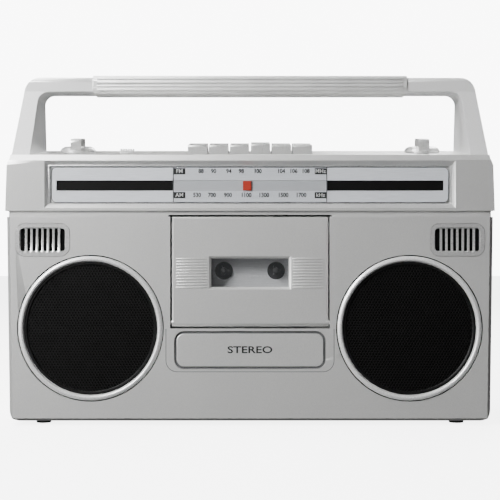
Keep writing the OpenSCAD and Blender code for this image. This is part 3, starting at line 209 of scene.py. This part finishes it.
def silver_paint(name, colour, rough=0.34, metal=0.62):
    """Sprayed silver: fine metal flake, a faint orange peel and cloudy tone."""
    m = Nodes(name)
    m.set(Metallic=metal)
    m.shader.inputs["Coat Weight"].default_value = 0.12
    m.shader.inputs["Coat Roughness"].default_value = 0.25
    flake = m.noise(2600, 1)
    cloud = m.noise(14, 2)
    mix = m.add("ShaderNodeMix", data_type="RGBA", blend_type="MULTIPLY")
    mix.inputs["Factor"].default_value = 1
    m.link(m.ramp(flake, [(0.3, shade(colour, 0.9)), (0.7, shade(colour, 1.08))]), mix.inputs["A"])
    m.link(m.ramp(cloud, [(0.3, (0.96, 0.96, 0.965)), (0.7, (1, 1, 1))]), mix.inputs["B"])
    m.link(mix.outputs["Result"], m.shader.inputs["Base Color"])
    m.link(m.level(flake, rough - 0.05, rough + 0.07), m.shader.inputs["Roughness"])
    m.bump(m.noise(900, 1), 0.06, 0.00005)
    return m.material


def moulded(name, colour, rough=0.45, grain=0.1, scale=1800, metal=0.0, shine=0.5):
    """Moulded plastic or rubber with a fine spark-eroded grain."""
    m = Nodes(name)
    m.set(Metallic=metal, Specular_IOR_Level=shine)
    tone = m.noise(40, 3)
    m.link(m.ramp(tone, [(0.3, shade(colour, 0.94)), (0.7, shade(colour, 1.05))]),
           m.shader.inputs["Base Color"])
    m.link(m.level(m.noise(220, 2), rough - 0.04, rough + 0.05), m.shader.inputs["Roughness"])
    if grain:
        m.bump(m.noise(scale, 2), grain, 0.00008)
    return m.material


def brushed(name, colour, rough, along=(1, 40, 40), metal=1.0):
    """Metal with a brushed or turned grain that runs along one axis."""
    m = Nodes(name)
    m.set(Metallic=metal)
    lines = m.noise(90, 3, along)
    m.link(m.ramp(lines, [(0.3, shade(colour, 0.88)), (0.7, shade(colour, 1.08))]),
           m.shader.inputs["Base Color"])
    m.link(m.level(lines, rough - 0.06, rough + 0.08), m.shader.inputs["Roughness"])
    m.bump(lines, 0.08, 0.00003)
    return m.material


def clear(name, colour, rough, alpha):
    """Clear moulded plastic, with faint flow marks."""
    m = Nodes(name)
    m.set(Roughness=rough, IOR=1.49, Alpha=alpha)
    m.shader.inputs["Base Color"].default_value = (*colour, 1)
    m.link(m.level(m.noise(60, 2), rough, rough + 0.04), m.shader.inputs["Roughness"])
    m.material.surface_render_method = "BLENDED"
    return m.material


def ink(name, colour):
    """Screen-printed ink."""
    m = Nodes(name)
    m.link(m.ramp(m.noise(1500, 1), [(0.3, shade(colour, 0.85)), (0.7, colour)]),
           m.shader.inputs["Base Color"])
    m.set(Roughness=0.5)
    return m.material


def glowing_white(name, glow):
    """White paper lit from behind."""
    m = Nodes(name)
    m.set(Roughness=0.7)
    m.link(m.ramp(m.noise(3, 1), [(0.3, (0.88, 0.88, 0.88)), (0.7, (0.9, 0.9, 0.9))]),
           m.shader.inputs["Base Color"])
    m.shader.inputs["Emission Color"].default_value = (1, 1, 1, 1)
    m.shader.inputs["Emission Strength"].default_value = glow
    return m.material


def make_finishes():
    silver = (0.84, 0.84, 0.825)
    return {
        "case": silver_paint("case_silver", silver),
        # A darker copy of the case silver for the rear shell and battery door: painted shade.
        "case_back_shaded": silver_paint("rear_silver_painted_shade", (0.7, 0.7, 0.69)),
        "handle": silver_paint("handle_silver", (0.96, 0.96, 0.95), 0.34, 0.4),
        "grip": moulded("grip_silver", (0.8, 0.8, 0.79), 0.42, 0.12, metal=0.4),
        "trim": silver_paint("trim_silver", (0.85, 0.85, 0.84), 0.3, 0.7),
        "ring": silver_paint("ring_silver", (0.95, 0.95, 0.94), 0.3, 0.4),
        "dial": brushed("dial_satin", (0.84, 0.87, 0.92), 0.36, (1, 60, 60), 0.35),
        "black": moulded("black_moulding", (0.006, 0.006, 0.0065), 0.42, 0.06, shine=0.2),
        "grille": moulded("grille_black", (0.004, 0.004, 0.004), 0.45, 0.05, shine=0.22),
        # A darker copy of the dial satin: painted shade for the pointer's recessed channel.
        "track": brushed("track_satin_painted_shade", (0.6, 0.62, 0.65), 0.4, (1, 60, 60), 0.4),
        "stripe": moulded("stripe_black", (0.003, 0.003, 0.003), 0.5, 0.03, shine=0.15),
        # Painted shade: dark grey laid in the groove round the nameplate and along the panel line.
        "shadow": moulded("groove_painted_shade", (0.1, 0.1, 0.103), 0.6, 0.03, shine=0.2),
        "hub": moulded("hub_grey", (0.035, 0.035, 0.036), 0.4, 0.05, shine=0.3),
        # Flat black for the speaker cloth, and painted shade in the ring gap, behind the vent slats and
        # above the door.
        "dark": moulded("cloth_black_and_painted_shade", (0.002, 0.002, 0.002), 0.9, 0.0, shine=0.1),
        "rubber": moulded("rubber_black", (0.03, 0.03, 0.03), 0.7, 0.2, 900),
        "steel": brushed("deck_steel", (0.8, 0.81, 0.83), 0.35, (1, 30, 30), 0.5),
        "chrome": brushed("aerial_chrome", (0.82, 0.83, 0.85), 0.12, (1, 20, 20)),
        "brass": brushed("turned_brass", (0.72, 0.55, 0.28), 0.28),
        "cone": moulded("cone_paper", (0.02, 0.02, 0.02), 0.8, 0.5, 500),
        "board": moulded("board_green", (0.05, 0.2, 0.09), 0.5, 0.15, 400),
        "iron": moulded("iron_laminate", (0.2, 0.18, 0.16), 0.6, 0.3, 300, metal=0.5),
        "cream": moulded("cream_moulding", (0.75, 0.7, 0.6), 0.5),
        "red": moulded("pointer_red", (0.42, 0.025, 0.006), 0.35, 0.05),
        "lens": clear("dial_lens", (0.12, 0.13, 0.14), 0.05, 0.05),
        "smoked": clear("smoked_window", (0.12, 0.125, 0.13), 0.05, 0.08),
        "black_ink": ink("black_ink", (0.01, 0.01, 0.01)),
        "white_ink": ink("white_ink", (0.8, 0.8, 0.8)),
    }


# ---- Making meshes ----


def new_object(name, mesh):
    obj = bpy.data.objects.new(name, mesh)
    bpy.context.scene.collection.objects.link(obj)
    return obj


def finish_mesh(obj, smooth=35):
    """Recalculates normals, and shades narrow facets smooth; broad faces stay flat."""
    bm = bmesh.new()
    bm.from_mesh(obj.data)
    bmesh.ops.remove_doubles(bm, verts=bm.verts, dist=1e-6)
    bmesh.ops.recalc_face_normals(bm, faces=bm.faces)
    for face in bm.faces:
        mean_width = face.calc_area() / max(edge.calc_length() for edge in face.edges)
        face.smooth = mean_width < 4 * MM
    for edge in bm.edges:
        edge.smooth = len(edge.link_faces) == 2 and edge.calc_face_angle(0) < math.radians(smooth)
    bm.to_mesh(obj.data)
    bm.free()


def apply_modifiers(obj):
    graph = bpy.context.evaluated_depsgraph_get()
    mesh = bpy.data.meshes.new_from_object(obj.evaluated_get(graph))
    obj.modifiers.clear()
    obj.data = mesh


def merged(name, objects):
    """Joins mesh objects into the first, which keeps each one's materials."""
    bpy.ops.object.select_all(action="DESELECT")
    for obj in objects:
        obj.select_set(True)
    bpy.context.view_layer.objects.active = objects[0]
    if len(objects) > 1:
        bpy.ops.object.join()
    objects[0].name = name
    return objects[0]


def soften(node, material, width=0.5, name=None, angle=30, replace=True):
    """A copy of a node with small rounded edges, which takes the node's place."""
    source = NODES[node]
    obj = new_object(name or node + "_skin", source.data.copy())
    bm = bmesh.new()
    bm.from_mesh(obj.data)
    bmesh.ops.remove_doubles(bm, verts=bm.verts, dist=2e-6)
    bmesh.ops.dissolve_limit(bm, angle_limit=math.radians(0.6), verts=bm.verts, edges=bm.edges)
    bm.to_mesh(obj.data)
    bm.free()
    obj.data.materials.clear()
    obj.data.materials.append(material)
    if width:
        bevel = obj.modifiers.new("rounded_edges", "BEVEL")
        bevel.width = width * MM
        bevel.segments = 2
        bevel.limit_method = "ANGLE"
        bevel.angle_limit = math.radians(angle)
        bevel.use_clamp_overlap = True
        bevel.harden_normals = False
        apply_modifiers(obj)
    finish_mesh(obj)
    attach(obj, BODY_OF[node])
    if replace:
        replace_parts(obj, node)
    return obj


def from_bmesh(name, bm, material, body, smooth=35):
    mesh = bpy.data.meshes.new(name)
    bm.to_mesh(mesh)
    bm.free()
    mesh.materials.append(material)
    obj = new_object(name, mesh)
    finish_mesh(obj, smooth)
    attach(obj, body)
    return obj


def add_block(bm, lo, hi, bevel=0.0):
    """A block between two corners in metres, with a small bevel on its edges."""
    size = [h - l for l, h in zip(lo, hi)]
    middle = [(h + l) / 2 for l, h in zip(lo, hi)]
    place = Matrix.Translation(middle) @ Matrix.Diagonal((*size, 1))
    made = bmesh.ops.create_cube(bm, size=1, matrix=place)["verts"]
    if bevel:
        edges = list({e for v in made for e in v.link_edges})
        bmesh.ops.bevel(bm, geom=edges, offset=bevel, segments=2, affect="EDGES", profile=0.5)
    return made


def rounded_outline(half_x, half_z, radius, steps=6):
    points = []
    for sx, sz, start in ((1, 1, 0), (-1, 1, 90), (-1, -1, 180), (1, -1, 270)):
        for k in range(steps + 1):
            angle = math.radians(start + 90 * k / steps)
            x = sx * (half_x - radius) + radius * math.cos(angle)
            z = sz * (half_z - radius) + radius * math.sin(angle)
            points.append((x, z))
    return points


def add_frame(bm, centre, half, radius, line, front, back):
    """A thin flat frame facing the front: outline half sizes, line width, and its two depths."""
    outer = rounded_outline(half[0], half[1], radius)
    inner = rounded_outline(half[0] - line, half[1] - line, max(radius - line, line * 0.2))
    rings = []
    for points, y in ((outer, front), (inner, front), (inner, back), (outer, back)):
        rings.append([bm.verts.new((centre[0] + x, y, centre[1] + z)) for x, z in points])
    count = len(outer)
    for a in range(4):
        first, second = rings[a], rings[(a + 1) % 4]
        for i in range(count):
            j = (i + 1) % count
            bm.faces.new((first[i], first[j], second[j], second[i]))


def lettering(name, text, height, centre, y, material, wide=1.0, bold=0.028):
    """Flat printed characters facing the front, centred on (x, z)."""
    curve = bpy.data.curves.new(name, "FONT")
    curve.body = text
    curve.size = height / 0.7
    curve.align_x = "CENTER"
    curve.align_y = "CENTER"
    curve.resolution_u = 3
    curve.extrude = INK_THICKNESS / 2
    curve.offset = height * bold
    holder = new_object(name + "_text", curve)
    graph = bpy.context.evaluated_depsgraph_get()
    mesh = bpy.data.meshes.new_from_object(holder.evaluated_get(graph))
    bpy.data.objects.remove(holder)
    place = Matrix.Translation((centre[0], y, centre[1])) @ Matrix.Rotation(math.radians(90), 4, "X")
    mesh.transform(place @ Matrix.Diagonal((wide, 1, 1, 1)))
    mesh.materials.clear()
    mesh.materials.append(material)
    for polygon in mesh.polygons:
        polygon.material_index = 0
    return new_object(name, mesh)


# ---- Cabinet and handle ----


def make_cabinet(f):
    soften("front_cabinet", f["case"], 0.6)
    soften("top_cabinet", f["case"], 0.6)
    soften("rear_cabinet", f["case_back_shaded"], 0.6)
    soften("handle_front", f["handle"], 0.9)
    soften("handle_rear", f["handle"], 0.9)
    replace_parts(make_grip(f["grip"]), "handle_grip")


def make_grip(material):
    """The soft grip on the bar, with fine ribs along its front and back."""
    lo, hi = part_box("handle_grip")
    obj = soften("handle_grip", material, 0.8, "handle_grip_ribbed", replace=False)
    bm = bmesh.new()
    bm.from_mesh(obj.data)
    ribs = 4
    pitch = (hi.z - lo.z) / (ribs + 1)
    inset = 0.004
    for side, y in ((-1, lo.y), (1, hi.y)):
        for i in range(ribs):
            z = lo.z + pitch * (i + 1)
            start = (lo.x + inset, min(y, y + side * 0.0005) - 0.0004, z - pitch * 0.26)
            end = (hi.x - inset, max(y, y + side * 0.0005) + 0.0004, z + pitch * 0.26)
            add_block(bm, start, end, 0.0003)
    bm.to_mesh(obj.data)
    bm.free()
    finish_mesh(obj)
    return obj


# ---- Loudspeakers and warm-air slots ----

GRILLE_PITCH = 0.0024
GRILLE_HOLE = 0.00078
GRILLE_CROWN = 0.0022


def socket(group, name):
    """The identifier of a node group's named input."""
    for item in group.interface.items_tree:
        if item.item_type == "SOCKET" and item.in_out == "INPUT" and item.name == name:
            return item.identifier
    raise KeyError(name)


def perforation_nodes(material):
    """Nodes that lay a pierced cell on every point of a hexagonal grid inside a disc."""
    group = bpy.data.node_groups.new("perforation", "GeometryNodeTree")
    face = group.interface
    face.new_socket("Geometry", in_out="INPUT", socket_type="NodeSocketGeometry")
    cell = face.new_socket("Cell", in_out="INPUT", socket_type="NodeSocketObject")
    pitch = face.new_socket("Pitch", in_out="INPUT", socket_type="NodeSocketFloat")
    pitch.default_value = 0.0023
    radius = face.new_socket("Radius", in_out="INPUT", socket_type="NodeSocketFloat")
    radius.default_value = 0.05
    crown = face.new_socket("Crown", in_out="INPUT", socket_type="NodeSocketFloat")
    crown.default_value = 0.002
    face.new_socket("Geometry", in_out="OUTPUT", socket_type="NodeSocketGeometry")
    nodes = group.nodes
    link = group.links.new
    start = nodes.new("NodeGroupInput")
    end = nodes.new("NodeGroupOutput")

    def maths(operation, a, b=None):
        node = nodes.new("ShaderNodeMath")
        node.operation = operation
        for slot, value in ((0, a), (1, b)):
            if value is None:
                continue
            if isinstance(value, (int, float)):
                node.inputs[slot].default_value = value
            else:
                link(value, node.inputs[slot])
        return node.outputs[0]

    across = maths("CEIL", maths("DIVIDE", start.outputs["Radius"], start.outputs["Pitch"]))
    count = maths("ADD", maths("MULTIPLY", across, 2), 5)
    tall = maths("ADD", maths("MULTIPLY", maths("CEIL", maths("MULTIPLY", across, 1.1548)), 2), 5)
    total = maths("MULTIPLY", count, tall)
    points = nodes.new("GeometryNodePoints")
    link(total, points.inputs["Count"])
    index = nodes.new("GeometryNodeInputIndex").outputs[0]
    row = maths("FLOOR", maths("DIVIDE", index, count))
    column = maths("SUBTRACT", index, maths("MULTIPLY", row, count))
    half_w = maths("MULTIPLY", maths("SUBTRACT", count, 1), 0.5)
    half_h = maths("MULTIPLY", maths("SUBTRACT", tall, 1), 0.5)
    odd = maths("MULTIPLY", maths("MODULO", row, 2), 0.5)
    x = maths("MULTIPLY", maths("ADD", maths("SUBTRACT", column, half_w), odd), start.outputs["Pitch"])
    z_step = maths("MULTIPLY", start.outputs["Pitch"], 0.866025)
    z = maths("MULTIPLY", maths("SUBTRACT", row, half_h), z_step)
    reach = maths("SQRT", maths("ADD", maths("MULTIPLY", x, x), maths("MULTIPLY", z, z)))
    share = maths("DIVIDE", reach, start.outputs["Radius"])
    fall = maths("MULTIPLY", maths("MULTIPLY", share, share), start.outputs["Crown"])
    place = nodes.new("ShaderNodeCombineXYZ")
    link(x, place.inputs["X"])
    link(fall, place.inputs["Y"])
    link(z, place.inputs["Z"])
    link(place.outputs[0], points.inputs["Position"])
    outside = nodes.new("FunctionNodeCompare")
    outside.data_type = "FLOAT"
    outside.operation = "GREATER_THAN"
    link(reach, outside.inputs["A"])
    link(start.outputs["Radius"], outside.inputs["B"])
    trim = nodes.new("GeometryNodeDeleteGeometry")
    link(points.outputs[0], trim.inputs["Geometry"])
    link(outside.outputs["Result"], trim.inputs["Selection"])
    info = nodes.new("GeometryNodeObjectInfo")
    link(start.outputs["Cell"], info.inputs["Object"])
    lay = nodes.new("GeometryNodeInstanceOnPoints")
    link(trim.outputs["Geometry"], lay.inputs["Points"])
    link(info.outputs["Geometry"], lay.inputs["Instance"])
    real = nodes.new("GeometryNodeRealizeInstances")
    link(lay.outputs[0], real.inputs[0])
    paint = nodes.new("GeometryNodeSetMaterial")
    paint.inputs["Material"].default_value = material
    link(real.outputs[0], paint.inputs["Geometry"])
    link(paint.outputs[0], end.inputs[0])
    return group


def pierced_cell(pitch, hole):
    """One hexagonal cell of perforated sheet, pierced by a round hole, facing the front."""
    bm = bmesh.new()
    side = pitch / math.sqrt(3) * 1.001
    rings = []
    for y in (0.0, 0.0006):
        outer, inner = [], []
        for k in range(12):
            angle = math.radians(30 * k)
            spread = side if k % 2 else side * math.cos(math.radians(30))
            outer.append(bm.verts.new((spread * math.cos(angle), y, spread * math.sin(angle))))
            inner.append(bm.verts.new((hole * math.cos(angle), y, hole * math.sin(angle))))
        rings.append((outer, inner))
    for k in range(12):
        j = (k + 1) % 12
        (o0, i0), (o1, i1) = rings
        bm.faces.new((o0[k], o0[j], i0[j], i0[k]))
        bm.faces.new((i0[k], i0[j], i1[j], i1[k]))
    mesh = bpy.data.meshes.new("cell")
    bm.to_mesh(mesh)
    bm.free()
    return new_object("cell", mesh)


def make_grille(side, group, cell, f):
    """The perforated speaker grille: a crowned sheet with a rolled rim, over a dark cloth."""
    node = side + "_grille"
    lo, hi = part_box(node)
    middle = (lo + hi) / 2
    radius = (hi.x - lo.x) / 2
    carrier = bpy.data.meshes.new(side + "_sheet")
    sheet = new_object(side + "_sheet", carrier)
    modifier = sheet.modifiers.new("perforation", "NODES")
    modifier.node_group = group
    modifier[socket(group, "Cell")] = cell
    modifier[socket(group, "Pitch")] = GRILLE_PITCH
    modifier[socket(group, "Radius")] = radius - 0.0016
    modifier[socket(group, "Crown")] = GRILLE_CROWN
    apply_modifiers(sheet)
    sheet.data.materials.clear()
    sheet.data.materials.append(f["grille"])
    sheet.data.polygons.foreach_set("material_index", [0] * len(sheet.data.polygons))
    sheet.data.transform(Matrix.Translation((middle.x, lo.y + 0.0002, middle.z)))
    bm = bmesh.new()
    add_lathe(bm, middle, lo.y, [(radius - 0.003, 0.002), (radius - 0.0022, 0.0014),
                                 (radius - 0.0006, 0.0014), (radius - 0.0001, 0.002),
                                 (radius - 0.0001, 0.0044), (radius - 0.003, 0.0044)])
    rim = from_bmesh(side + "_grille_rim", bm, f["grille"], BODY_OF[node])
    bm = bmesh.new()
    add_lathe(bm, middle, lo.y, [(0.00001, 0.0042), (radius - 0.002, 0.0044),
                                 (radius - 0.002, 0.0048), (0.00001, 0.0046)])
    cloth = from_bmesh(side + "_speaker_cloth", bm, f["dark"], BODY_OF[node])
    whole = merged(side + "_grille_sheet", [sheet, rim, cloth])
    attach(whole, BODY_OF[node])
    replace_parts(whole, node)


def make_ring_gap(side, f):
    """A dark ring set in the gap between the trim ring and the cabinet: painted shade."""
    lo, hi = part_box(side + "_grille_ring")
    middle = (lo + hi) / 2
    outer = (hi.x - lo.x) / 2
    bm = bmesh.new()
    add_lathe(bm, middle, FACE_Y, [(outer + 0.1 * MM, 0.0016), (outer + 0.9 * MM, 0.0016),
                                   (outer + 0.9 * MM, 0.0020), (outer + 0.1 * MM, 0.0020)], 120)
    from_bmesh(side + "_ring_gap", bm, f["dark"], "cabinet")


def make_vent_shade_sheet(side, f):
    """A black sheet close behind the slats, painted shade so the slots read as open."""
    lo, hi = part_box(side + "_vent")
    middle = (lo + hi) / 2
    half = ((hi.x - lo.x) / 2 - 4.2 * MM, (hi.z - lo.z) / 2 - 4.2 * MM)
    bm = bmesh.new()
    start = (middle.x - half[0], hi.y - 0.0009, middle.z - half[1])
    add_block(bm, start, (middle.x + half[0], hi.y - 0.0005, middle.z + half[1]), 0.0001)
    from_bmesh(side + "_vent_baffle", bm, f["dark"], "cabinet")


def add_lathe(bm, centre, front, profile, steps=72):
    """A ring turned about a front-to-back axis; the profile gives radius and depth behind the front."""
    rings = []
    for k in range(steps):
        angle = math.tau * k / steps
        c, s = math.cos(angle), math.sin(angle)
        rings.append([bm.verts.new((centre.x + r * c, front + d, centre.z + r * s))
                      for r, d in profile])
    count = len(profile)
    for k in range(steps):
        a, b = rings[k], rings[(k + 1) % steps]
        for i in range(count):
            j = (i + 1) % count
            bm.faces.new((a[i], a[j], b[j], b[i]))


def make_speakers(f):
    cell = pierced_cell(GRILLE_PITCH, GRILLE_HOLE)
    group = perforation_nodes(f["grille"])
    for side in ("left", "right"):
        make_grille(side, group, cell, f)
        soften(side + "_grille_ring", f["ring"], 0.5)
        make_ring_gap(side, f)
        soften(side + "_vent", f["trim"], 0.2)
        make_vent_shade_sheet(side, f)
    bpy.data.objects.remove(cell)


# ---- Dial ----

FM_MARKS = [("88", -39.3), ("90", -29.2), ("94", -17.0), ("98", -7.0), ("100", 6.2), ("104", 25.0),
            ("106", 34.9), ("108", 44.7)]
AM_MARKS = [("530", -42.5), ("700", -30.6), ("900", -17.7), ("1100", -3.1), ("1300", 11.1),
            ("1500", 26.6), ("1700", 41.0)]


def shaded_track_band(lo, middle):
    """The satin band that the pointer travels along, darker than the dial: painted shade of its recessed
    channel.
    """
    bm = bmesh.new()
    start = (-60.9 * MM, lo.y - 0.00004, middle[1] - 4.9 * MM)
    add_block(bm, start, (60.9 * MM, lo.y - 0.00001, middle[1] + 3.3 * MM))
    return bm


def make_dial(f):
    soften("dial_tray", f["trim"], 0.15)
    soften("dial_plate", f["dial"], 0.12)
    soften("dial_window", f["lens"], 0.15)
    soften("dial_pointer", f["red"], 0.12)
    lo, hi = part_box("dial_plate")
    print_y = lo.y - 0.00008
    rows = (hi.z - 3.4 * MM, lo.z + 6.0 * MM)
    parts = []
    for text, x in FM_MARKS:
        parts.append(lettering("fm", text, 3.3 * MM, (x * MM, rows[0]), print_y,
                               f["black_ink"], wide=0.9, bold=0.045))
    for text, x in AM_MARKS:
        parts.append(lettering("am", text, 3.3 * MM, (x * MM, rows[1]), print_y,
                               f["black_ink"], wide=0.9, bold=0.045))
    for left, right, z in (("FM", "MHz", rows[0]), ("AM", "kHz", rows[1])):
        for text, x in ((left, -56.6 * MM), (right, 56.6 * MM)):
            parts.append(lettering("band", text, 3.1 * MM, (x, z), print_y - 0.00014,
                                   f["white_ink"], bold=0.005))
    bm = bmesh.new()
    for z in rows:
        for side in (-1, 1):
            start, end = sorted((side * 51.9 * MM, side * 61.2 * MM))
            add_block(bm, (start, print_y - 0.00005, z - 2.5 * MM), (end, print_y, z + 2.5 * MM))
    for side in (-1, 1):
        add_block(bm, (side * 61.5 * MM - 0.0003, print_y - 0.00005, lo.z + 0.0006),
                  (side * 61.5 * MM + 0.0003, print_y, hi.z - 0.0006))
    middle = ((lo.x + hi.x) / 2, (lo.z + hi.z) / 2)
    half = ((hi.x - lo.x) / 2, (hi.z - lo.z) / 2)
    add_frame(bm, middle, half, 0.004, 0.00045, print_y - 0.00005, print_y)
    marks = bpy.data.meshes.new("marks")
    bm.to_mesh(marks)
    bm.free()
    marks.materials.append(f["black_ink"])
    parts.append(new_object("marks", marks))
    printed = merged("dial_print", parts)
    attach(printed, "cabinet")
    bm = bmesh.new()
    for side in (-1, 1):
        start, end = sorted((side * 62.0 * MM, side * 155.3 * MM))
        add_block(bm, (start, hi.y - 0.0004, middle[1] - 4.5 * MM),
                  (end, hi.y - 0.00005, middle[1] + 3.9 * MM))
    from_bmesh("pointer_track", shaded_track_band(lo, middle), f["track"], "cabinet")
    from_bmesh("stripe_backing", bm, f["stripe"], "cabinet")


# ---- Cassette door and nameplate ----


def make_door(f):
    soften("cassette_door", f["case"], 0.8)
    soften("door_window", f["smoked"], 0.2)
    soften("nameplate", f["case"], 0.5)
    lo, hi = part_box("cassette_door")
    bm = bmesh.new()
    for side in (-1, 1):
        near, far = (34.2 * MM, 59.0 * MM)
        for i in range(11):
            z = (110.4 + 2.3 * i) * MM
            start = (min(side * near, side * far), lo.y - 0.00035, z - 0.0006)
            end = (max(side * near, side * far), lo.y + 0.0002, z + 0.0006)
            add_block(bm, start, end, 0.0003)
    from_bmesh("door_ribs", bm, f["case"], "door")
    glass_lo, glass_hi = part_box("door_window")
    bm = bmesh.new()
    middle = ((glass_lo.x + glass_hi.x) / 2, (glass_lo.z + glass_hi.z) / 2)
    half = ((glass_hi.x - glass_lo.x) / 2, (glass_hi.z - glass_lo.z) / 2)
    for i in range(9):
        x = (-12 + 3 * i) * MM
        tall = 2.4 if i % 4 == 0 else 1.4
        add_block(bm, (x - 0.0002, glass_lo.y - 0.00008, middle[1] - (2.6 + tall / 2) * MM),
                  (x + 0.0002, glass_lo.y - 0.00002, middle[1] - (2.6 - tall / 2) * MM))
    from_bmesh("window_scale", bm, f["white_ink"], "door")
    bm = bmesh.new()
    add_frame(bm, (middle[0], middle[1]), (half[0] - 0.0002, half[1] - 0.0002), 0.0012, 0.0009,
              glass_lo.y - 0.0001, glass_lo.y - 0.00002)
    from_bmesh("window_border", bm, f["black_ink"], "door")
    # A dark strip in the gap above the door: painted shade.
    bm = bmesh.new()
    start = (lo.x + 0.0004, lo.y + 0.0008, hi.z + 0.00015)
    add_block(bm, start, (hi.x - 0.0004, lo.y + 0.0016, hi.z + 0.0013))
    from_bmesh("door_seal", bm, f["dark"], "cabinet")


def make_nameplate(f):
    lo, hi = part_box("nameplate")
    middle = ((lo.x + hi.x) / 2, (lo.z + hi.z) / 2)
    word = lettering("name_text", "STEREO", 5.4 * MM, (middle[0], middle[1]), lo.y - 0.00006,
                     f["black_ink"], wide=1.35)
    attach(word, "cabinet")
    door_lo, door_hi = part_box("cassette_door")
    half_x = (door_hi.x - door_lo.x) / 2 + 1.6 * MM
    top = door_lo.z + 9 * MM
    bottom = lo.z - 2.6 * MM
    # Both dark frames are painted shade: the outer one draws the panel line round the lower panel, the
    # inner one lies in the groove round the raised nameplate.
    bm = bmesh.new()
    add_frame(bm, (0, (top + bottom) / 2), (half_x, (top - bottom) / 2), 0.009, 0.0005,
              FACE_Y - 0.00004, FACE_Y + 0.0002)
    above = bm.verts[:] + bm.edges[:] + bm.faces[:]
    bmesh.ops.bisect_plane(bm, geom=above, plane_co=(0, 0, door_lo.z - 1.7 * MM),
                           plane_no=(0, 0, 1), clear_outer=True)
    add_frame(bm, middle, ((hi.x - lo.x) / 2 + 0.05 * MM, (hi.z - lo.z) / 2 + 0.05 * MM), 0.0077, 0.0019,
              FACE_Y + 0.0015, FACE_Y + 0.0018)
    from_bmesh("panel_line", bm, f["shadow"], "cabinet")


# ---- Keys, knobs and slider ----


def make_controls(f):
    for key in KEYS:
        soften("key_" + key, f["trim"], 0.7)
    for knob in ("volume_knob", "tuning_knob"):
        soften(knob, f["trim"], 0.7)
    soften("function_slider", f["trim"], 0.5)


# ---- Rear, aerial and inside ----

FINISH_OF = {
    "case_screws": "steel",
    "battery_contacts": "steel",
    "mains_inlet": "black",
    "main_board": "board",
    "power_transformer": "iron",
    "ferrite_aerial": "iron",
    "tuning_capacitor": "steel",
    "volume_control": "steel",
    "function_switch": "steel",
    "dial_cord": "cream",
    "deck_plate": "steel",
    "deck_motor": "steel",
    "motor_pulley": "brass",
    "drive_belt": "rubber",
    "capstan_flywheel": "steel",
    "left_spindle": "hub",
    "right_spindle": "hub",
    "head_carriage": "steel",
    "pinch_roller": "rubber",
    "key_rod": "steel",
    "cassette_holder": "black",
    "tuning_drum": "cream",
    "left_speaker_frame": "steel",
    "right_speaker_frame": "steel",
    "left_speaker_cone": "cone",
    "right_speaker_cone": "cone",
}


def make_rear_and_aerial(f):
    soften("battery_door", f["case_back_shaded"], 0.4)
    soften("rubber_feet", f["rubber"], 0.4)
    soften("aerial_knuckle", f["chrome"], 0.3)
    for tube in ("outer", "middle", "inner"):
        soften("aerial_" + tube + "_tube", f["chrome"], 0.15)


def make_battery_grip(f):
    """Finger ridges along the top of the battery door."""
    lo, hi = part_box("battery_door")
    bm = bmesh.new()
    for i in range(7):
        z = hi.z - (5.0 + 1.8 * i) * MM
        half = (13 - 0.9 * i) * MM
        add_block(bm, (-half, hi.y - 0.0006, z - 0.0005), (half, hi.y + 0.0003, z + 0.0005), 0.00025)
    from_bmesh("battery_door_ridges", bm, f["case_back_shaded"], "battery_flap")


def finish_inside(f):
    """Working parts keep their shape and take a finish of their own."""
    for node, finish in FINISH_OF.items():
        obj = NODES[node]
        obj.data.materials.clear()
        obj.data.materials.append(f[finish])


# ---- Putting it together ----


def give_slots():
    """Walks the new pieces, but gives none of them a slot."""
    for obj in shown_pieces():
        if obj.name in NODES or obj.type != "MESH":
            continue


def main():
    finishes = make_finishes()
    add_camera()
    add_studio()
    make_cabinet(finishes)
    make_speakers(finishes)
    make_dial(finishes)
    make_door(finishes)
    make_nameplate(finishes)
    make_controls(finishes)
    make_rear_and_aerial(finishes)
    make_battery_grip(finishes)
    finish_inside(finishes)
    give_slots()


main()
